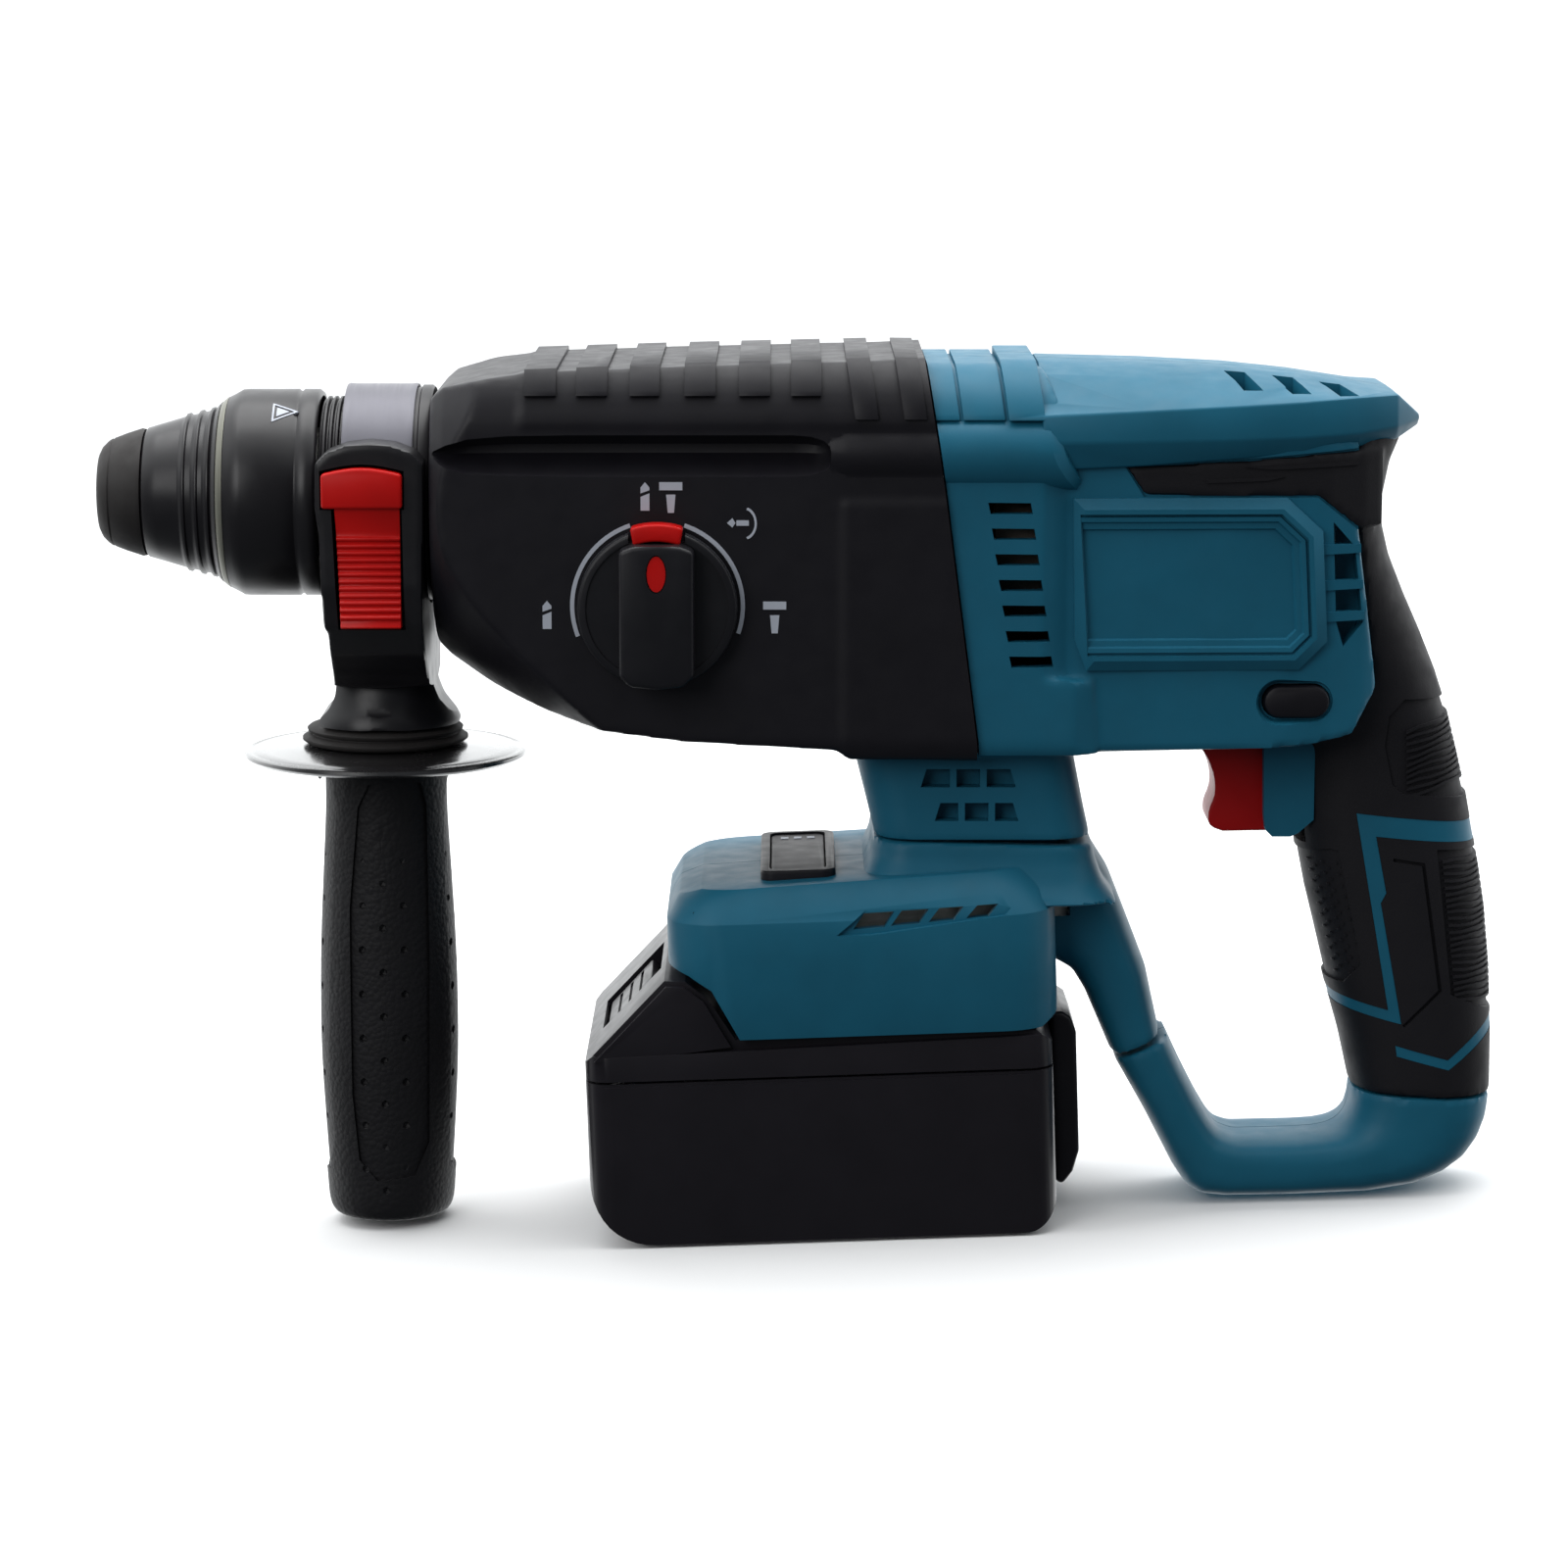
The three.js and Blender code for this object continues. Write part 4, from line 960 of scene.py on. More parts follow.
# ---- Mode knob ------------------------------------------------------------------------------
@dataclass(frozen=True)
class ModeKnob:
    """The round mode knob with its grip bar, pointer and lock button, and the signs printed around it."""

    centre: Point = (-20.5, -21.7)
    face: float = -37.3
    radius: float = 18.0
    bar: float = 8.4

    def at(self, x: float, z: float) -> Point:
        """Gives a point from its offsets to the knob's centre."""
        return self.centre[0] + x, self.centre[1] + z

    def arc(self, radius: float, start: float, end: float, steps: int = 40) -> list[Point]:
        """Gives points of an arc about the knob's centre, between two angles in degrees."""
        angles = [math.radians(start + (end - start) * i / steps) for i in range(steps + 1)]
        return [self.at(radius * math.cos(a), radius * math.sin(a)) for a in angles]

    def oval(self, rise: float, half_width: float, half_height: float) -> list[Point]:
        """Gives an upright oval's points, at a height above the knob's centre."""
        return [self.at(half_width * math.cos(FULL_TURN * i / 40),
                        rise + half_height * math.sin(FULL_TURN * i / 40))
                for i in range(40)]

    def sign(self, x: float, z: float, corners: Sequence[Point]) -> Shape:
        """Lays one thin printed plate on the housing, from its corners about a point."""
        return prism([self.at(x + a, z + b) for a, b in corners], self.face + 0.3, self.face + 0.9)

    def knob(self) -> None:
        """Builds the disc with its bevelled rim, the grip bar across it and the stem behind it."""
        face, radius = self.face, self.radius
        disc = prism(self.arc(radius, 0, 357, 119), face - 4.9, face - 0.3)
        disc.soften(0.9, 4)
        scoop = prism(self.arc(radius - 1.9, 0, 357, 119), face - 8, face - 4.3)
        disc.cut(scoop)
        top, low = radius - 3.6, -radius + 0.5
        half = self.bar
        bar = prism([self.at(-half, low + 3), self.at(-half + 2.4, low + 0.6), self.at(0, low),
                     self.at(half - 2.4, low + 0.6), self.at(half, low + 3), self.at(half, top - 0.7),
                     self.at(half - 3, top + 0.4), self.at(0, top + 0.9), self.at(-half + 3, top + 0.4),
                     self.at(-half, top - 0.7)], face - 11.3, face - 2)
        bar.soften(1.1, 4)
        disc.join(bar)
        disc.cut(prism(self.oval(8.6, 2.3, 4.3), face - 12.4, face - 10.4))
        x, z = self.centre
        disc.cut(block((x - 6.4, x + 6.4), (face - 12, face + 1), (z + radius - 3.2, z + radius + 3)))
        stem = pin(self.centre, face - 1.5, -30, 6.0)
        peg = pin(self.at(0, 4), -30.5, -25.5, 1.6, 24)
        disc.join(stem).join(peg)
        deliver(disc, "mode_knob_turned", BARREL, KNOB_BLACK, "mode_knob", ["mode_knob"])
        pointer = prism(self.oval(8.6, 2.1, 4.0), face - 10.9, face - 9.5)
        deliver(pointer, "mode_knob_pointer", BARREL, RED, "mode_knob")

    def lock_button(self) -> None:
        """Builds the curved red button at the knob's rim."""
        face, radius = self.face, self.radius
        outline = [*self.arc(radius + 1.25, 108, 72, 12), *self.arc(radius - 2.7, 70, 110, 12)]
        button = prism(outline, face - 6.3, face - 0.6).soften(0.6, 3)
        deliver(button, "mode_lock_button", BARREL, RED, "knob_lock", ["knob_lock_button"])

    def signs(self) -> None:
        """Lays the printed arc and the drill and hammer signs on the housing as thin plates."""
        low, high = self.face + 0.3, self.face + 0.9
        arcs = []
        for start, end in ((-19, 71.5), (108.5, 201)):
            arcs.append(prism([*self.arc(19.7, start, end), *self.arc(18.75, end, start)], low, high))
        head = ((-2.6, 0.9), (2.6, 0.9), (2.6, -0.9), (-2.6, -0.9))
        handle = ((-1.05, 0), (1.05, 0), (0.7, -4.1), (-0.7, -4.1))
        shank = ((-1, 0), (1, 0), (1, 3.9), (-1, 3.1))
        tip = ((-1, 3.9), (1, 4.6), (1, 5.2), (0, 6.4), (-1, 5.2))
        plates = [self.sign(3.1, 27.1, head), self.sign(3.1, 25.2, handle), self.sign(26.4, 0.1, head),
                  self.sign(26.4, -2.1, handle)]
        for x, z in ((-2.7, 21.6), (-24.9, -5.2)):
            plates += [self.sign(x, z, shank), self.sign(x, z, tip)]
        turn = [self.at(19.6 + 2.8 * math.cos(a), 18.7 + 3.7 * math.sin(a)) for a in
                (math.radians(-75 + 150 * i / 16) for i in range(17))]
        inner = [self.at(19.4 + 2.5 * math.cos(a), 18.7 + 3.2 * math.sin(a)) for a in
                 (math.radians(75 - 150 * i / 16) for i in range(17))]
        plates.append(prism([*turn, *inner], low, high))
        plates.append(prism([self.at(15.7, 18.8), self.at(16.9, 19.9), self.at(17.6, 18.8),
                             self.at(16.9, 17.8)], low, high))
        plates.append(prism([self.at(17.8, 19.4), self.at(20.6, 19.4), self.at(20.6, 18.2),
                             self.at(17.8, 18.2)], low, high))
        sheet = arcs[0].gather(*arcs[1:], *plates)
        deliver(sheet, "mode_signs", BARREL, PRINT_AND_HIGHLIGHT_GREY, "housing")

    def build(self) -> None:
        """Builds the knob, its lock button and the signs."""
        self.knob()
        self.lock_button()
        self.signs()


# ---- Body -----------------------------------------------------------------------------------
Station = tuple[Point, Point, float, float]


def ribbon(stations: Sequence[Station], count: int = 56) -> Shape:
    """Lofts a rounded bar through stations drawn in the side plane.

    Args:
        stations: For each one its outer point, its inner point, its half width and its squareness:
            2 is an ellipse, and higher is closer to a rectangle.
        count: Points around the bar.

    Returns:
        The bar.
    """
    rings = []
    for outer, inner, half, square in stations:
        one, two = Plane.SIDE.at(*outer, 0), Plane.SIDE.at(*inner, 0)
        ring = []
        for i in range(count):
            c, s = math.cos(FULL_TURN * i / count), math.sin(FULL_TURN * i / count)
            along = math.copysign(abs(c) ** (2 / square), c)
            across = math.copysign(abs(s) ** (2 / square), s)
            ring.append((one + two) / 2 + (one - two) / 2 * along + Vector((0, half * across, 0)))
        rings.append(ring)
    return loft(rings)


def both_sides(outline: Sequence[Point], inner: float, outer: float) -> list[Shape]:
    """Pushes an outline between two distances from the middle plane, on the left and on the right."""
    return [prism(outline, -outer, -inner), prism(outline, inner, outer)]


@dataclass(frozen=True)
class Body:
    """The teal motor housing with its wing, neck and handle bar, in two halves."""

    front_outline: tuple[Point, ...] = (
        (37.6, 30.6), (67.0, 30.4), (71.4, 20.0), (71.6, -38.9), (77.8, -39.2), (78.8, -56.4), (50.5, -56.7),
        (50.3, -53.6), (42.6, 4.4))
    rear_outline: tuple[Point, ...] = (
        (60, 15), (138, 15), (138.4, 9), (138.4, -5.6), (140.9, -24), (143.4, -42.2), (137.6, -52.8),
        (125.4, -55.0), (72, -56.2), (60, -50))
    plan: tuple[Point, ...] = ((60, 32.2), (108, 32.0), (122, 31.2), (132, 29.2), (140, 26.3), (147, 22.0))
    front_half: float = 35.4
    bands: tuple[tuple[float, float, float], ...] = ((36.9, 45.4, 1.0), (46.2, 55.6, 1.0), (56.4, 64.6, 1.9))
    grip_plate: tuple[Point, ...] = (
        (84.9, 9.2), (89.2, 2.4), (128.7, 2.0), (138.2, -5.6), (160, -5.6), (160, 15.0), (138, 13.0),
        (110, 10.8))
    vent_count: int = 7
    panel: tuple[Point, ...] = (
        (73.2, 2.2), (121.6, 2.2), (129.8, -5.4), (131.2, -30.6), (124.8, -37.0), (76.5, -37.0), (73.8, -30))
    panel_face: float = 34.9
    ladder: tuple[Point, ...] = ((132.4, -3.6), (137.6, -9.4), (139.8, -26.9), (135.2, -32.2), (133.4, -26.4))
    wall_gap: float = 0.3
    wing: tuple[tuple[float, ...], ...] = (
        (66.0, 31.3, 22.0, 29.2, 36.0, 21.0, 15.0, 8.4), (90.0, 30.7, 22.0, 28.5, 36.0, 22.2, 15.3, 9.6),
        (110.0, 29.7, 21.0, 27.7, 35.0, 23.2, 15.6, 11.0), (125.0, 28.2, 19.0, 26.7, 32.6, 23.9, 15.9, 12.2),
        (138.0, 26.3, 16.0, 25.6, 28.0, 24.5, 16.4, 13.1), (147.4, 24.8, 13.0, 24.7, 21.8, 24.6, 17.4, 14.2),
        (153.4, 19.6, 8.0, 19.5, 12.8, 19.3, 18.4, 16.8))
    bar: tuple[Station, ...] = (
        ((174.7, -141.4), (141.9, -140.2), 16.4, 2.6), ((174.0, -147.0), (141.7, -143.4), 16.4, 2.7),
        ((172.2, -152.0), (140.9, -146.6), 16.4, 2.8), ((169.0, -156.6), (139.2, -148.8), 16.4, 2.9),
        ((164.4, -160.0), (136.6, -150.2), 16.4, 3.0), ((158.0, -162.8), (133.0, -150.9), 16.3, 3.1),
        ((146.6, -164.8), (128.0, -151.2), 16.2, 3.2), ((128.0, -165.6), (121.0, -151.4), 16.0, 3.4),
        ((112.0, -165.8), (114.2, -151.6), 15.8, 3.6), ((106.0, -165.4), (110.4, -150.2), 15.8, 3.4),
        ((102.8, -163.4), (108.4, -147.6), 15.7, 3.2), ((99.6, -158.6), (105.6, -142.8), 15.6, 3.2),
        ((92.8, -145.4), (101.6, -134.9), 15.6, 3.2), ((85.4, -132.3), (98.0, -127.1), 15.6, 3.2))

    def front_block(self, grow: float = 0.0) -> Shape:
        """Shapes the front of the housing, rounded over the top and turned in at its rear corner."""
        half = self.front_half + grow
        cross = rounded_box((-half, half), (-60, 30.6 + grow), (7, 17), 12)
        plan = [(30, half), (66.2, half), (71.6, 32.4), (78.8, 32.4)]
        foot = [(30, half), (73.6, half), (78.8, 32.8)]
        low = prism([*foot, *((x, -y) for x, y in reversed(foot))], -60, -38.9, Plane.TOP)
        turned = prism([*plan, *((x, -y) for x, y in reversed(plan))], -38.8, 40, Plane.TOP).gather(low)
        return prism(self.front_outline, -40, 40).meet(prism(cross, 30, 80, Plane.CROSS), turned)

    def rear_block(self, outline: Sequence[Point], shrink: float = 0.0) -> Shape:
        """Shapes the rear of the housing, which narrows in plan.

        Args:
            outline: Its outline from the side.
            shrink: How much narrower it is on each side.

        Returns:
            The block.
        """
        edge = [(x, y - shrink) for x, y in self.plan]
        plan = [*edge, *((x, -y) for x, y in reversed(edge))]
        return prism(outline, -40, 40).meet(prism(plan, -70, 40, Plane.TOP))

    def bands_and_shoulders(self) -> list[Shape]:
        """Shapes the raised bands over the top and the half-round shoulders beside them."""
        pieces = []
        for side in (-1, 1):
            pieces.append(loft([shoulder_ring(side, 41.6, 1.0, -0.155), shoulder_ring(side, 54.0, 1.0, -0.05),
                                shoulder_ring(side, 68.4, 1.0, 0.0, 6.0),
                                shoulder_ring(side, 71.2, 0.8, 0.0, 6.0),
                                shoulder_ring(side, 72.2, 0.5, 0.0, 6.0)]))
        for start, end, proud in self.bands:
            half = self.front_half + proud
            cross = rounded_box((-half, half), (-60, 30.6 + proud), (7, 17 + proud), 14)
            pieces.append(prism([(start, 36), (start + 2.1, 20.0), (end + 2.1, 20.0), (end, 36)], -40, 40)
                          .meet(prism(cross, 30, 80, Plane.CROSS)).soften(0.25, 2, 40))
        return pieces

    def wing_form(self) -> Shape:
        """Lofts the wing: a flat roof, sloping flanks, an upright edge and a chamfer under it."""
        rings = []
        for x, top, crease, crease_z, half, edge, low, under in self.wing:
            right = [(crease * 0.5, top), (crease, crease_z), (half, edge), (half + 0.5, low),
                     (half - 2.4, under), (half - 10, under)]
            section = [*right, *((-y, z) for y, z in reversed(right))]
            rings.append([Vector((x, y, z)) for y, z in section])
        return loft(rings)

    def neck(self) -> Shape:
        """Shapes the neck that stands on the battery platform."""
        rings = []
        for z, front, rear, half in ((-50, 22.6, 73.4, 26.0), (-58, 24.2, 74.6, 26.2),
                                     (-70, 27.2, 77.0, 26.6), (-77.4, 29.0, 78.6, 27.0)):
            rings.append([Vector((x, y, z)) for x, y in rounded_box((front, rear), (-half, half), (9, 9), 8)])
        return loft(rings)

    def trigger_cheeks(self) -> list[Shape]:
        """Shapes the two strips beside the trigger's rear edge."""
        outline = [(119.0, -50), (131.0, -52), (131.0, -75.0), (127.4, -78.2), (125.6, -79.0), (121.4, -79.0),
                   (119.8, -77.4), (119.4, -74.0)]
        return both_sides(outline, 9.2, 12.8)

    def cavity(self) -> list[Shape]:
        """Shapes the room inside for the motor, and the one under the wing's slots."""
        plan = [(40, 31.6), (64, 31.4), (69, 28.8), (120, 28.2), (134, 22.6)]
        plan = [*plan, *((x, -y) for x, y in reversed(plan))]
        arch = prism(rounded_box((-31.8, 31.8), (-55, 27.6), (4, 15), 10), 30, 150, Plane.CROSS)
        room = prism([(43.6, 28), (62, 28), (66, 12), (133, 11), (134.6, -6), (136.6, -30), (133, -44),
                      (121, -49), (72, -50), (55.6, -50),
                      (48, 4.4)], -40, 40).meet(prism(plan, -60, 40, Plane.TOP), arch)
        attic = prism([(104, 25), (134, 21.6), (134, 10), (104, 10)], -24, 24)
        return [room.join(attic)]

    def openings(self) -> list[Shape]:
        """Gives the cutters for the vents in the sides, the roof, the neck and behind the panel."""
        cutters = []
        for i in range(self.vent_count):
            x, z = 53.9 + 0.83 * i, 1.5 - 5.82 * i
            cutters += both_sides([(x, z), (x + 9.6, z - 0.1), (x + 10.1, z - 2.6), (x + 0.6, z - 2.6)], 28,
                                  45)
        for x in (108.6, 119.6, 130.4):
            for side in (-1, 1):
                slot = [(x + 3.2, side * 26.5), (x + 7.6, side * 26.5), (x + 4.6, side * 13),
                        (x - 0.2, side * 13)]
                cutters.append(prism(slot, 14, 40, Plane.TOP))
        cutters += both_sides(self.ladder, 20, 45)
        for row, lean in ((-62.9, 1.3), (-70.7, -1.3)):
            for i in range(3):
                left, right = 40.6 + 6.9 * i + (row + 62.9) * -0.25, 46.0 + 6.9 * i + (row + 62.9) * -0.25
                start = left + (-lean if i == 0 else 0)
                end = right + (lean if i == 2 else 0)
                top = [(left if lean > 0 else start, row + 2.1), (right if lean > 0 else end, row + 2.1)]
                low = [(end if lean > 0 else right, row - 2.1), (start if lean > 0 else left, row - 2.1)]
                cutters += both_sides([*top, *low], 22, 40)
        return cutters

    def layer(self, outline: Sequence[Point], side: int, depth: float) -> list[Vector]:
        """Places an outline on one side at a depth that falls away towards the rear."""
        return [Vector((x, side * (depth - 0.055 * max(0.0, x - 95)), z)) for x, z in outline]

    def side_panels(self) -> list[Shape]:
        """Shapes the raised panels: a wide bevel round a rim, a channel and two steps down to the face."""
        pieces = []
        face = self.panel_face
        steps = ((3.5, 2.0), (3.5, -1.3), (4.0, -1.35), (4.2, -0.5), (5.2, -0.6), (5.6, -1.3), (6.9, -1.4),
                 (7.3, -2.1))
        for side in (-1, 1):
            plate = loft([self.layer(inset(self.panel, shrink), side, depth)
                          for shrink, depth in ((0.0, 26.0), (0.0, face - 1.6), (2.4, face))])
            plate.cut(loft([self.layer(self.open_front(shrink), side, face + depth)
                            for shrink, depth in steps]))
            pieces.append(plate)
        return pieces

    def ladder_bars(self) -> Shape:
        """Shapes the three bars across the slot behind each panel."""
        bars = []
        for z in (-9.8, -18.0, -25.2):
            rear = 138.2 - z * 0.075
            bar = [(129.4, z - 1.15), (rear + 0.1, z - 1.0), (rear, z + 1.0), (129.2, z + 1.15)]
            bars.append(self.rear_block(bar, -0.45).cut(self.rear_block(inset(bar, -1), 2.4)))
        return bars[0].gather(*bars[1:])

    def open_front(self, shrink: float) -> list[Point]:
        """Gives the panel's outline drawn in by a distance, except at its front end."""
        return [(x if x > 95 else 74.2 + shrink * 0.1 + (2.2 - z) * 0.06, z)
                for x, z in inset(self.panel, shrink)]

    def lever_recess(self) -> list[Shape]:
        """Gives the cutters for the oval dishes round the reversing lever and its hole."""
        centre = (124.6, -44.6)
        cutters = both_sides(stadium(centre, 15.6, 8.0), 5, 45)
        for side in (-1, 1):
            rings = []
            for grow, depth in ((3.4, 36.0), (2.7, 31.4), (1.6, 30.2), (0.6, 28.4)):
                rings.append([Vector((x, side * depth, z)) for x,
                              z in stadium(centre, 15.9 + grow, 8.0 + grow)])
            cutters.append(loft(rings))
        return cutters

    def screw_holes(self) -> list[Shape]:
        """Gives the cutters for the screw wells on the right side."""
        cutters = []
        for node in ("screw_front_top", "screw_front_bottom", "screw_rear_top", "screw_handle"):
            extent = BARREL.extent(node)
            middle, face = extent.middle, extent.hi.y
            cutters.append(pin((middle.x, middle.z), face - 0.6, 45, 4.2))
            cutters.append(pin((middle.x, middle.z), 8, 45, 2.0, 24))
        return cutters

    def form(self) -> Shape:
        """Moulds the broad forms of the housing and joins the crisper ones to them."""
        body = self.front_block()
        body.gather(self.rear_block(self.rear_outline), self.neck(), ribbon(self.bar))
        body.mould(0.95, 2)
        body.join(self.wing_form().soften(0.5, 2, 18))
        body.join(*self.bands_and_shoulders())
        return body.cut(prism([(20, 50), (37.6, 50), (40.0, 34.4), (44.6, 4.4), (52.2, -53.6),
                               (52.3, -56.9), (20, -56.9)],
                              -50, 50))

    def build(self) -> None:
        """Builds the housing's two halves."""
        body = self.form()
        body.cut(*self.cavity())
        body.cut(self.rear_block(self.grip_plate, -3.0).cut(self.rear_block(inset(self.grip_plate, -1), 1.1)))
        body.cut(*self.openings())
        body.join(*self.side_panels(), self.ladder_bars(), *self.trigger_cheeks())
        body.cut(*self.lever_recess(), *self.screw_holes())
        left, right = body.halves(self.wall_gap)
        deliver(left, "body_housing_left", BARREL, TEAL, "housing", ["body_shell_left"])
        deliver(right, "body_housing_right", BARREL, TEAL, "housing", ["body_shell_right"])


# ---- Rear grip ------------------------------------------------------------------------------
@dataclass(frozen=True)
class RearGrip:
    """The rubber rear grip in two halves, with its ribbed pads and the teal strips let into it."""

    stations: tuple[Station, ...] = (
        ((149.8, 15.4), (96, 12.5), 26.0, 4.0), ((147.2, 9.0), (96, 6), 27.0, 3.8),
        ((145.7, 0.5), (96, 0), 26.6, 3.6), ((145.9, -6.0), (98, -8), 25.6, 3.4),
        ((147.8, -13.3), (102, -18), 23.8, 3.1), ((151.6, -22.5), (107, -30), 21.6, 2.9),
        ((155.8, -31.7), (113, -42), 19.6, 2.7), ((159.6, -40.9), (120, -52), 18.2, 2.6),
        ((162.7, -50.2), (127.0, -58.5), 17.2, 2.6), ((165.1, -59.5), (127.2, -67), 16.9, 2.6),
        ((167.4, -68.8), (127.4, -76), 16.8, 2.6), ((169.2, -78.2), (128.2, -84.5), 16.8, 2.6),
        ((171.1, -87.6), (129.9, -93.0), 16.9, 2.6), ((172.6, -97.0), (132.2, -102.0), 17.0, 2.6),
        ((174.0, -111.0), (135.4, -115.0), 17.0, 2.6), ((174.7, -126.0), (139.2, -128.0), 16.9, 2.6),
        ((174.8, -140.9), (141.9, -139.9), 16.6, 2.6))
    inlay: tuple[Point, ...] = (
        (85.4, 9.0), (89.5, 2.8), (128.8, 2.4), (138.5, -5.3), (144, -5.3), (144, 12.6), (138, 12.5),
        (110, 10.4))
    upper_pad: tuple[Point, ...] = (
        (151.0, -46.2), (180, -47.2), (180, -69.2), (165.8, -70.0), (151.0, -68.2), (148.6, -66.2),
        (146.6, -57.0), (147.4, -50.0))
    front_pad: tuple[Point, ...] = (
        (120, -84.5), (134.6, -81.6), (136.6, -81.9), (142.4, -108.6), (138.8, -113.6), (120, -113.5))
    strip: tuple[Point, ...] = (
        (140.4, -72.8), (185, -77.4), (185, -82.2), (145.2, -78.4), (147.8, -91.6), (146.6, -94.0),
        (152.0, -122.9), (125, -116.4), (125, -113.7), (148.7, -119.4))
    chevron: tuple[Point, ...] = (
        (150.6, -127.9), (163.0, -131.4), (174, -122.0), (182, -112), (182, -116.4), (174.2, -125.4),
        (163.3, -134.0), (151.0, -130.6))
    crease: tuple[Point, ...] = (
        (149.2, -83.4), (156.6, -84.6), (161.2, -114.9), (152.6, -123.6), (152.2, -123.0), (160.3, -114.7),
        (155.9, -85.3), (149.2, -84.2))
    channel: tuple[Point, Point] = ((90, 134), (-81, -50))

    def bar(self, grow: float) -> Shape:
        """Lofts the grip's form, grown all round by a distance."""
        grown = []
        for outer, inner, half, square in self.stations:
            along = (Vector(outer) - Vector(inner)).normalized() * grow
            grown.append((tuple(Vector(outer) + along), tuple(Vector(inner) - along), half + grow, square))
        return ribbon(grown, 72)

    def skin(self, outline: Sequence[Point], bottom: float, top: float) -> Shape:
        """Gives the part of the grip's skin inside an outline, between two depths."""
        return self.bar(top).meet(prism(outline, -45, 45)).cut(self.bar(bottom))

    def ridges(self, first: Point, last: Point, slope: float, pitch: float = 1.45) -> Shape:
        """Lays wavy ridges across the grip's back.

        Args:
            first: Front end of the top ridge.
            last: Front end of the lowest ridge.
            slope: How fast a ridge falls towards the back.
            pitch: Distance from ridge to ridge.

        Returns:
            The ridges.
        """
        count = int((first[1] - last[1]) / pitch)
        blades = []
        for i in range(count):
            x, z = Vector(first).lerp(Vector(last), i / count)
            line = [(x + t, z - slope * t * (1 - t * 0.018) + 0.3 * math.sin(t * 0.5 + i * 0.9))
                    for t in range(0, 32, 3)]
            blades.append(prism([*((a, b + 0.34) for a, b in line),
                                 *((a, b - 0.34) for a, b in reversed(line))],
                                -40, 40))
        return self.bar(-0.05).meet(blades[0].gather(*blades[1:]))

    def stipple(self) -> Shape:
        """Sets small domes over the front pads."""
        domes = []
        for row in range(21):
            for column in range(4):
                x = 130.2 + column * 3.0 + row * 0.34 + (row % 2) * 1.1
                z = -85.0 - row * 1.32
                if x > 141.0 + (z + 108) * 0.1:
                    continue
                domes.append((x, z))
        pins = [pin(dome, -40, 40, 0.34, 8) for dome in domes]
        return self.bar(-0.35).meet(pins[0].gather(*pins[1:]))

    def build(self) -> None:
        """Builds the grip's halves and its strips."""
        body = Body()
        grip = self.bar(0).cut(prism([(50, 22), (138.4, 22), (138.7, 9), (138.7, -5.8), (141.2, -24),
                                      (143.8, -42.3), (137.9, -53.1), (125.4, -55.5), (50, -57)], -45, 45))
        inlay = body.rear_block(self.inlay, 0.2).cut(body.rear_block(inset(self.inlay, -1), 3.4))
        grip.gather(inlay)
        grip.mould(0.9, 2)
        x, z = self.channel
        grip.cut(block(x, (-9.1, 9.1), z), prism([(119, -57), (127.1, -57), (127.1, -79.3), (119, -79.3)],
                                                 -13.1, 13.1))
        grip.cut(self.skin(self.upper_pad, -0.75, 2.0), self.skin(self.front_pad, -0.7, 2.0))
        grip.cut(self.skin(self.strip, -0.7, 2.0), self.skin(self.chevron, -0.7, 2.0))
        grip.cut(self.skin(self.crease, -0.9, 2.0))
        back_pad = [(159.4, -81.6), (185, -83.2), (185, -112), (174.5, -121), (163.4, -116.0)]
        grip.cut(self.skin(back_pad, -0.75, 2.0))
        grip.gather(self.ridges((151.5, -54.0), (152.0, -70.5), -0.34),
                    self.ridges((160.8, -84.6), (164.6, -119.0), -0.05), self.stipple())
        for side, half in zip(("left", "right"), grip.halves(0.3)):
            deliver(half, f"grip_rubber_{side}_half", BARREL, GRIP_RUBBER, "housing", [f"grip_rubber_{side}"])
        strips = self.skin(inset(self.strip, 0.08), -1.4, -0.12).gather(self.skin(inset(self.chevron, 0.08),
                                                                                  -1.4, -0.12))
        deliver(strips, "grip_teal_strips", BARREL, TEAL, "housing")
        self.darts()

    def darts(self) -> None:
        """Lays the two raised darts on the rubber under the wing, on each side."""
        body = Body()
        shapes = []
        for points in (((112.0, 9.1), (138.0, 10.2), (138.0, 9.2), (118.0, 8.5)),
                       ((103.2, 6.4), (121.0, 6.9), (117.0, 6.0), (103.2, 5.5))):
            shapes.append(body.rear_block(points, -0.2).cut(body.rear_block(inset(points, -1), 1.2)))
        deliver(shapes[0].gather(shapes[1]), "grip_raised_darts", BARREL, GRIP_RUBBER, "housing")


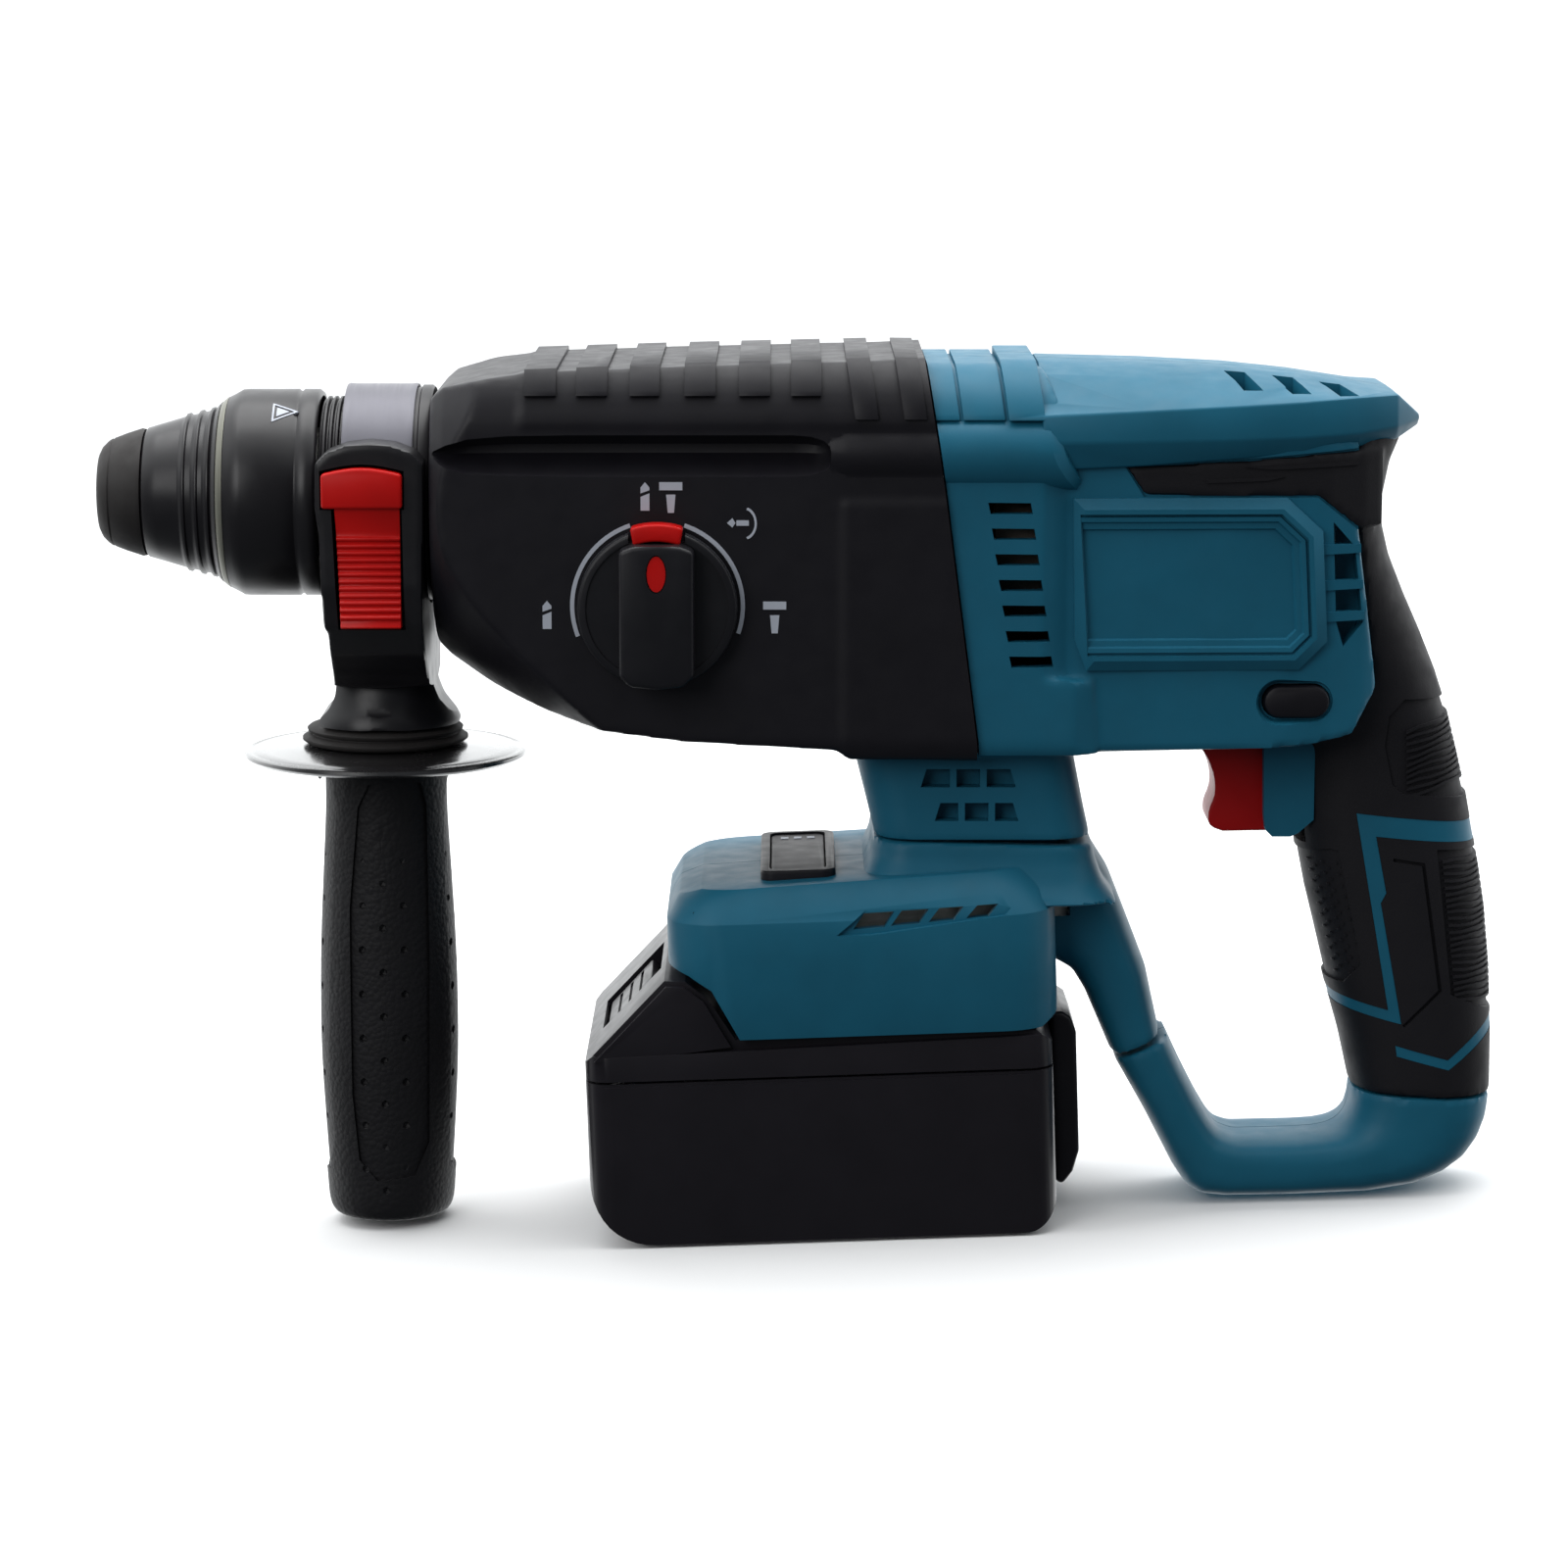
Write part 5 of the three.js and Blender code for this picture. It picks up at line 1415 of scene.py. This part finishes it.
# ---- Controls on the body -------------------------------------------------------------------
@dataclass(frozen=True)
class Controls:
    """The red trigger and the reversing lever that slides through the body above it."""

    trigger_half: float = 8.2
    lever_centre: Point = (124.6, -44.6)
    lever_reach: float = 31.0

    def trigger(self) -> None:
        """Shapes the trigger with its hollowed front and rounded edges."""
        front = eased([(110.4, -78.6), (107.4, -77.2), (107.0, -74.0), (108.3, -70.0), (108.2, -66.0),
                       (106.8, -61.8), (104.6, -58.4), (103.0, -56.4)], 3)
        outline = [*front, (106.5, -53.4), (108.5, -52.5), (126.0, -52.5), (126.0, -76.4), (121.0, -78.4)]
        trigger = prism(outline, -self.trigger_half, self.trigger_half).soften(1.3, 4, 50)
        deliver(trigger, "squeeze_trigger", BARREL, RED_DEEP, "trigger", ["trigger"], sharp=40)

    def lever(self) -> None:
        """Shapes the lever: a bar with rounded ends and a shallow dish in each."""
        reach = self.lever_reach
        rings = []
        for shrink, depth in ((1.1, -reach), (0.35, -reach + 0.35), (0.0, -reach + 1.1), (0.0, reach - 1.1),
                              (0.35, reach - 0.35), (1.1, reach)):
            rings.append([Vector((x, depth, z)) for x, z in
                          stadium(self.lever_centre, 15.0 - 2 * shrink, 7.4 - 2 * shrink)])
        bar = loft(rings)
        deliver(bar, "reversing_bar", BARREL, HOUSING_BLACK, "reversing_lever", ["reversing_lever"])

    def build(self) -> None:
        """Builds the trigger and the lever."""
        self.trigger()
        self.lever()


# ---- Battery platform -----------------------------------------------------------------------
@dataclass(frozen=True)
class Platform:
    """The teal foot in two halves, with the lamp in its top, that the battery slides into."""

    outline: tuple[Point, ...] = (
        (-6.3, 48.0), (-12.4, 59.6), (-17.6, 62.8), (-22.3, 64.4), (-22.3, 84.5), (58, 85), (67, 85),
        (67, 50.4), (63, 48.0))
    half: float = 38.5
    slots: int = 4
    strut: tuple[Station, ...] = (
        ((72.0, 88.0), (48.0, 66.0), 17.0, 3.2), ((77.2, 84.6), (56.0, 60.0), 16.6, 3.2),
        ((81.0, 78.0), (66.5, 58.4), 16.2, 3.2), ((84.2, 69.0), (71.4, 55.6), 16.0, 3.2),
        ((89.0, 55.2), (74.4, 50.4), 15.9, 3.2), ((91.8, 39.8), (80.3, 35.2), 15.8, 3.2))

    def slab(self) -> Shape:
        """Lofts the foot upwards: straight sides, a chamfer round the shoulder and a crowned top."""
        rings = []
        for z, shrink in ((44.0, 0.0), (75.0, 0.0), (79.6, 2.7), (87.0, 9.6)):
            rings.append([Vector((x, y, z)) for x, y in
                          rounded_box((-22.3 + shrink, 67 - shrink * 0.6),
                                      (-self.half + shrink, self.half - shrink), (13, 13), 10)])
        lid = [(-22.3, 79.0), (-14, 81.9), (27, 83.2), (58, 84.2), (67.5, 82.4)]
        crown = prism([*lid, (67.5, 40), (-30, 40), (-30, 76)], -45, 45)
        return loft(rings).meet(crown, prism(self.outline, -45, 45)).soften(0.5, 2, 16)

    def riser(self) -> Shape:
        """Lofts the flared riser that carries the neck."""
        rings = []
        for drop, grow in ((0.0, 0.0), (-4.0, 0.6), (-8.5, 2.6), (-13.0, 6.6)):
            ring = []
            for x, y in rounded_box((26.0 - grow, 76.4 + grow * 0.8), (-27 - grow * 0.9, 27 + grow * 0.9),
                                    (9, 9), 8):
                ring.append(Vector((x, y, 91.0 + drop - (x - 26) * 0.062)))
            rings.append(ring)
        return loft(rings)

    def openings(self) -> list[Shape]:
        """Gives the cutters for the four slanted slots in each side."""
        cutters = []
        for i in range(self.slots):
            left = 20.4 + 8.6 * i
            width = 7.2 - 0.7 * i
            base = 72.7 + (left - 20.4) * 0.065
            top = base + 3.9 - 0.25 * i
            cutters += both_sides([(left, base), (left + width, base + 0.3), (left + width + 2.3, top),
                                   (left + 2.6, top - 0.2)], 24, 45)
        return cutters

    def recess(self) -> list[Shape]:
        """Gives the cutters for the shallow strips that the slots lie in."""
        outline = [(16.6, 71.6), (24.4, 71.5), (55.0, 75.0), (57.6, 77.6), (57.0, 79.6), (24.0, 77.6)]
        return both_sides(outline, self.half - 1.3, 45)

    def build(self) -> None:
        """Builds the foot's halves, the lamp and its bezel."""
        column = self.riser().gather(ribbon(self.strut)).mould(0.9, 4)
        foot = self.slab().join(column)
        room = prism([(-18, 66), (-10, 52), (-4, 51), (60, 51), (62, 76), (22, 79.4), (-16, 77.4)], -34.5,
                     34.5)
        shaft = block((31, 71), (-23, 23), (70, 95))
        foot.cut(room, shaft)
        foot.cut(*self.recess())
        foot.cut(*self.openings())
        foot.cut(block((0.9, 15.6), (-24.3, 24.3), (70, 90)))
        left, right = foot.halves(0.3)
        for side, half in (("left", left), ("right", right)):
            deliver(half, f"foot_housing_{side}", ROW, TEAL, "housing", [f"base_shell_{side}"])
        self.lamp()

    def lamp(self) -> None:
        """Builds the lamp's smoked window, the dark bezel round it, and three pale spots on the window that are
        painted highlights.
        """
        extent = ROW.extent("lamp_lens")
        x, y = (extent.lo.x, extent.hi.x), (extent.lo.y, extent.hi.y)
        rim = prism(rounded_box((x[0] - 1.6, x[1] + 1.6), (y[0] - 1.6, y[1] + 1.6), (3.2, 3.2)), 80.6, 84.6,
                    Plane.TOP)
        rim.soften(0.5, 3, 50)
        rim.cut(prism(rounded_box((x[0] + 0.5, x[1] - 0.5), (y[0] + 0.5, y[1] - 0.5), (2.4, 2.4)), 70, 90,
                      Plane.TOP))
        deliver(rim, "lamp_bezel", ROW, HOUSING_BLACK, "housing")
        lens = prism(rounded_box((x[0] + 0.6, x[1] - 0.6), (y[0] + 0.6, y[1] - 0.6), (2.3, 2.3)), 80.2,
                     84.1, Plane.TOP)
        lens.soften(0.6, 4, 50)
        # Three small pale grey blocks standing just above the window: painted highlights, not parts of the lamp.
        highlight_spots = [block((middle - 0.9, middle + 0.9), (17.0, 19.4), (83.6, 84.25))
                 for middle in (5.2, 8.3, 11.4)]
        deliver(highlight_spots[0].gather(*highlight_spots[1:]), "lamp_painted_highlights", ROW, PRINT_AND_HIGHLIGHT_GREY, "housing")
        deliver(lens, "lamp_window", ROW, LENS, "housing", ["lamp_lens"])


# ---- Battery --------------------------------------------------------------------------------
@dataclass(frozen=True)
class Battery:
    """The black battery: a lower and an upper case, a release button, a gauge and its button."""

    x: Point = (-42.3, 65.4)
    half: float = 37.5
    parting: float = 38.6

    def lower(self) -> None:
        """Lofts the lower case, rounded under the front, and hollows it for the cells."""
        arc = [(-27.3 + 15 * math.cos(a), 15 + 15 * math.sin(a)) for a in
               (math.radians(180 + 9 * i) for i in range(11))]
        rear = [(57.4 + 8 * math.cos(a), 8 + 8 * math.sin(a)) for a in (math.radians(270 + 9 * i)
                                                                        for i in range(11))]
        outline = [(self.x[0], self.parting), *arc, *rear, (self.x[1], self.parting)]
        plan = prism(rounded_box(self.x, (-self.half, self.half), (6, 6)), -5, 60, Plane.TOP)
        case = prism(outline, -45, 45).meet(plan).soften(1.2, 4, 40)
        case.cut(block((-60, 90), (-60, 60), (38.3, 60)))
        for side in (-1, 1):
            case.cut(block((-60, 90), (min(side * 37.2, side * 60), max(side * 37.2, side * 60)), (37.6, 60)))
        case.cut(block((-38.2, 61.6), (-34.5, 34.5), (3, 60)))
        deliver(case, "battery_lower_shell", ROW, BATTERY_BLACK, "battery", ["battery_lower_case"])

    def upper_form(self, shrink: float) -> Shape:
        """Lofts the upper case from its parting line up to the shoulder and the front slope."""
        outline = [(-42.2, 38.6), (-42.2, 43.0), (-23.2, 61.8), (-18.4, 61.4), (-13.6, 57.6), (-7.4, 47.5),
                   (61.6, 47.5), (65.2, 44.6), (65.2, 38.6)]
        plan = prism(rounded_box((self.x[0] + shrink, self.x[1] - shrink),
                                 (-self.half + shrink, self.half - shrink), (6, 6)), 20, 80, Plane.TOP)
        return prism(outline, -45, 45).meet(plan)

    def upper(self) -> None:
        """Shapes the upper case: its side lip, the ridge up to the platform, and the button's dish."""
        case = self.upper_form(0)
        for side in (-1, 1):
            y = (min(side * 35.4, side * 60), max(side * 35.4, side * 60))
            case.cut(prism([(-60, 44.8), (-39.6, 44.8), (-37.8, 44.6), (61.5, 46.6), (90, 46.6), (90, 80),
                            (-60, 80)],
                           y[0], y[1]))
            rail = prism([(-40.0, 43.6), (-22.8, 60.8), (-18.6, 60.4), (-14.4, 57.0), (-8.4, 46.2),
                          (-30, 44.0)],
                         *((side * 34.4, side * 37.3) if side > 0 else (side * 37.3, side * 34.4)))
            case.join(rail)
        case.soften(0.6, 3, 35)
        case.cut(block((-60, 90), (-60, 60), (0, 38.9)))
        case.cut(prism([(-37.4, 45.4), (-41.6, 49.6), (-28.2, 65.0), (-24.6, 61.2), (-24.0, 58.4),
                        (-30.4, 45.0)], -15, 15))
        case.cut(prism([(-38.1, 47.4), (-38.0, 43.5), (-31.2, 43.1), (-24.9, 52.4), (-24.7, 59.4),
                        (-29.0, 60.2)], -13, 13))
        case.cut(block((-37, 61), (-34.2, 34.2), (30, 44.2)))
        deliver(case, "battery_upper_shell", ROW, BATTERY_BLACK, "battery", ["battery_upper_case"])

    def release(self) -> None:
        """Shapes the release button with a finger slot across it."""
        outline = [(-37.5, 46.6), (-27.2, 57.0), (-25.6, 55.2), (-31.5, 46.2)]
        button = prism(outline, -12.6, 12.6).soften(0.5, 3, 40)
        for i in range(3):
            x = -35.0 + 2.6 * i
            z = 49.2 + 2.6 * i
            button.cut(prism([(x - 0.9, z + 0.9), (x - 0.2, z + 1.7), (x + 0.7, z + 0.1), (x, z - 0.7)],
                             -10.5, 10.5))
        deliver(button, "battery_latch_button", ROW, BATTERY_BLACK, "battery_release",
                ["battery_release_button"])

    def gauge(self) -> None:
        """Shapes the gauge panel at the rear with its four windows, and its button."""
        outline = [(65.7, 6.8), (67.6, 5.4), (70.2, 8.6), (71.8, 13.6), (71.8, 42.0), (70.6, 45.6),
                   (68.6, 47.0), (65.7, 47.0)]
        panel = prism(outline, -16, 16).soften(1.2, 4, 40)
        panel.cut(block((68.4, 80), (-4.5, 4.5), (21.5, 30.5)))
        windows = []
        for i in range(4):
            y = -10.5 + 7 * i
            panel.cut(block((71.2, 80), (y - 2.2, y + 2.2), (35.6, 38.4)))
            windows.append(block((70.6, 71.5), (y - 2.0, y + 2.0), (35.8, 38.2)))
        deliver(panel, "battery_gauge_cover", ROW, BATTERY_BLACK, "battery", ["gauge_panel"])
        deliver(windows[0].gather(*windows[1:]), "battery_gauge_windows", ROW, LENS, "battery")
        button = prism(rounded_box((-4.1, 4.1), (22, 30), (1.6, 1.6), 6), 70.0, 72.4,
                       Plane.CROSS).soften(0.6, 3, 50)
        deliver(button, "battery_gauge_button", ROW, HOUSING_BLACK, "gauge_button", ["gauge_button"])

    def build(self) -> None:
        """Builds the battery."""
        self.lower()
        self.upper()
        self.release()
        self.gauge()


# ---- Side handle ----------------------------------------------------------------------------
@dataclass(frozen=True)
class SideHandle:
    """The side handle: a clamp on a steel strap, a depth lock button, a guard and a rubber grip."""

    axis: float = -85.3
    strap_radius: float = 25.3
    clamp_outline: tuple[Point, ...] = (
        (-97.7, 10.0), (-95.4, 12.4), (-91.0, 14.0), (-85.5, 14.6), (-80.0, 14.0), (-75.6, 12.4),
        (-73.3, 10.0), (-73.3, 0.0), (-74.0, -27.0), (-73.4, -44.0), (-72.0, -47.6), (-69.6, -50.4),
        (-67.6, -51.8), (-67.6, -53.5), (-99.8, -53.5), (-99.8, -51.8), (-97.6, -49.6), (-96.0, -46.4),
        (-95.6, -42.0), (-95.6, -29.0), (-96.4, -27.4), (-97.0, -6.0), (-97.9, 0.0))

    def clamp_form(self) -> Shape:
        """Shapes the clamp's solid form: cheeks beside the barrel that narrow to a waist and flare out."""
        flank = [(33.4, 20), (33.4, -18), (31.6, -27), (26.0, -34.5), (19.6, -40), (16.2, -43.6),
                 (15.2, -46.6), (15.6, -49.4), (17.6, -51.6), (17.8, -53.5)]
        cross = [*flank, *((-y, z) for y, z in reversed(flank))]
        return prism(self.clamp_outline, -40, 40).meet(prism(cross, -110, -60, Plane.CROSS))

    def clamp(self) -> None:
        """Builds the clamp with the raised frame round its button, the strap's seat and the bolt's hole."""
        form = self.clamp_form()
        form.mould(0.7, 2)
        rounded = spun_upright([(-70, 0), (-70, 19.5), (-52.4, 17.6), (-50.4, 16.6), (-48.0, 15.2),
                                (-44.0, 14.2), (-38.0, 40), (30, 60), (30, 0)], self.axis, 96)
        form.meet(rounded)
        form.cut(spun([(-110, 0.0), (-110, 25.7), (-60, 25.7), (-60, 0.0)], 128))
        for side in (-1, 1):
            upper = [(-96.6, -0.4), (-96.6, 8.4), *((-96.6 + 19 * i / 8,
                                                     8.4 + 1.5 * math.sin(math.pi * i / 8))
                                                   for i in range(1, 8)), (-77.6, 8.4), (-77.6, -0.4)]
            lower = [(-94.1, 1), (-78.2, 1), (-77.8, -28.0), (-93.0, -28.0)]
            for outline in (upper, lower):
                form.cut(prism(outline, *((28.0, 50) if side > 0 else (-50, -26.3))))
        form.cut(spun_upright([(-60, 0), (-60, 4.4), (-24, 4.4), (-24, 0)], self.axis, 48))
        deliver(form, "handle_clamp_body", BARREL, CLAMP_BLACK, "side_handle", ["handle_clamp"])

    def strap(self) -> None:
        """Spins the satin steel strap with rolled edges."""
        front, rear, radius = -92.7, -76.5, self.strap_radius
        profile = [(front, radius - 0.6), (front, radius - 0.2), (front + 0.4, radius),
                   (front + 1.6, radius - 0.12), (rear - 1.6, radius - 0.12), (rear - 0.4, radius),
                   (rear, radius - 0.2), (rear, radius - 0.6)]
        deliver(spun(profile, 160), "steel_strap", BARREL, STRAP_STEEL, "side_handle", ["clamp_strap"],
                sharp=50)

    def button(self) -> None:
        """Shapes the red lock button: a plain block above a ribbed, hollowed thumb rest."""
        shapes = []
        for side in (-1, 1):
            top = [(-96.2, 0.0), (-96.2, 7.8), *((-96.2 + 18.2 * i / 10,
                                                  7.8 + 1.4 * math.sin(math.pi * i / 10))
                                                 for i in range(1, 10)), (-78.0, 7.8), (-78.0, 0.0)]
            upper = prism(top, *((28.6, 35.2) if side > 0 else (-35.2, -28.6))).soften(0.7, 3, 50)
            profile = [(30.0, 1.0), (34.2, 1.0), (33.4, -2.0), (32.5, -5.4)]
            for i in range(12):
                z = -6.4 - i * 1.62
                bow = 32.3 + 1.9 * ((i - 3.2) / 9.0) ** 2
                profile += [(bow, z), (bow + 0.6, z - 0.45), (bow + 0.55, z - 0.95), (bow, z - 1.3)]
            profile += [(34.0, -26.2), (34.4, -27.0), (33.8, -27.4), (30.0, -27.4)]
            ribs = prism([(side * y, z) for y, z in profile], -93.4, -78.6, Plane.CROSS)
            ribs.meet(prism([(-93.4, 2), (-78.6, 2), (-78.2, -27.6), (-92.2, -27.6)], -60, 60))
            ribs.soften(0.18, 2, 40)
            shapes += [upper, ribs]
        left = shapes[0].join(shapes[1])
        deliver(left, "depth_lock_button", BARREL, RED, "depth_button", ["depth_button"])
        deliver(shapes[2].join(shapes[3]), "depth_lock_plate", BARREL, HOUSING_BLACK, "side_handle")

    def ring(self) -> None:
        """Spins the rubber damping ring with its two folds."""
        profile = [(-58.6, 5.0), (-58.6, 17.2), (-58.3, 18.4), (-57.6, 19.3), (-57.1, 19.3), (-56.6, 18.4),
                   (-56.3, 17.2), (-56.0, 17.2), (-55.6, 18.0), (-55.0, 18.2), (-54.5, 17.6), (-54.1, 16.2),
                   (-53.8, 15.8), (-53.8, 5.0)]
        deliver(spun_upright(profile, self.axis, 96), "damping_bellows", BARREL, NOSE_RUBBER, "side_handle",
                ["damping_ring"], sharp=60)

    def guard(self) -> None:
        """Spins the dished guard with a rounded double rim."""
        profile = [(-62.4, 9.0), (-62.4, 26.0), (-62.2, 31.0), (-61.9, 32.3), (-61.2, 33.0), (-60.5, 32.9),
                   (-60.1, 32.2), (-60.3, 31.4), (-60.0, 30.8), (-59.8, 28.0), (-59.0, 21.0), (-58.8, 19.0),
                   (-58.8, 9.0)]
        deliver(spun_upright(profile, self.axis, 144), "hand_guard", BARREL, GUARD_BLACK, "side_grip",
                ["guard_disc"], sharp=50)

    def grip(self) -> None:
        """Shapes the grip: a barrelled form with long flat pads, ribs between them and small dimples."""
        curve = eased([(-62.8, 14.8), (-66.0, 14.9), (-75, 15.0), (-90, 15.8), (-106, 16.6), (-120, 16.9),
                       (-134, 16.8), (-150, 16.0), (-162, 15.2), (-168, 14.7), (-170.6, 13.6),
                       (-171.3, 11.8)], 3)
        form = spun_upright([(-62.8, 4.4), *curve, (-171.3, 0.0), (-112.0, 0.0), (-112.0, 4.4)], self.axis,
                            96)
        for quarter in range(4):
            pad = [(-5.6, -72.0), (-3.0, -66.6), (4.0, -65.4), (9.0, -66.5), (10.2, -72.0), (10.6, -110),
                   (10.0, -152.0), (6.5, -160.0), (-2.0, -161.0), (-6.4, -156.0), (-7.8, -140.0),
                   (-7.8, -96.0)]
            outline = [(self.axis + x, z) for x, z in pad]
            cutter = prism(outline, -30, -5)
            shell = spun_upright([(-62.0, 0), *((z, r - 0.75) for z, r in curve if z > -170), (-180, 0)],
                                 self.axis, 96)
            cutter.cut(shell)
            form.cut(cutter.turned(90 * quarter, Vector((self.axis, 0, 0)), "Z"))
        for quarter in range(4):
            dots = []
            for row in range(9):
                for column in range(3):
                    z = -74 - row * 10.5 - (column % 2) * 5.2
                    angle = math.radians(-90 - 18 + column * 18 + 90 * quarter)
                    radius = 16.2 - abs(z + 122) * 0.02
                    dots.append((Vector((self.axis + radius * math.cos(angle), radius * math.sin(angle),
                                         z)), angle))
            tools = []
            for spot, angle in dots:
                mesh = bmesh.new()
                bmesh.ops.create_icosphere(mesh, subdivisions=1, radius=1.1, matrix=Matrix.Translation(spot))
                tools.append(Shape(mesh))
            form.cut(tools[0].gather(*tools[1:]))
        lug = prism([(-101.8, -62.6), (-99.6, -62.6), (-99.4, -66.2), (-100.8, -67.4), (-102.2, -65.2)],
                    -1.6, 1.6)
        form.gather(lug)
        deliver(form, "side_grip_rubber", BARREL, SIDE_RUBBER, "side_grip", ["side_grip"])

    def build(self) -> None:
        """Builds the handle."""
        self.clamp()
        self.strap()
        self.button()
        self.ring()
        self.guard()
        self.grip()


def main() -> None:
    """Builds every sub-assembly in order, then the studio around them."""
    dress_hidden_nodes()
    for assembly in (Chuck(), GearHousing(), ModeKnob(), Body(), RearGrip(), Controls(), Platform(),
                     Battery(), SideHandle()):
        assembly.build()
        log.info("%s is done", type(assembly).__name__)
    Studio().build()


if __name__ == "__main__":
    main()
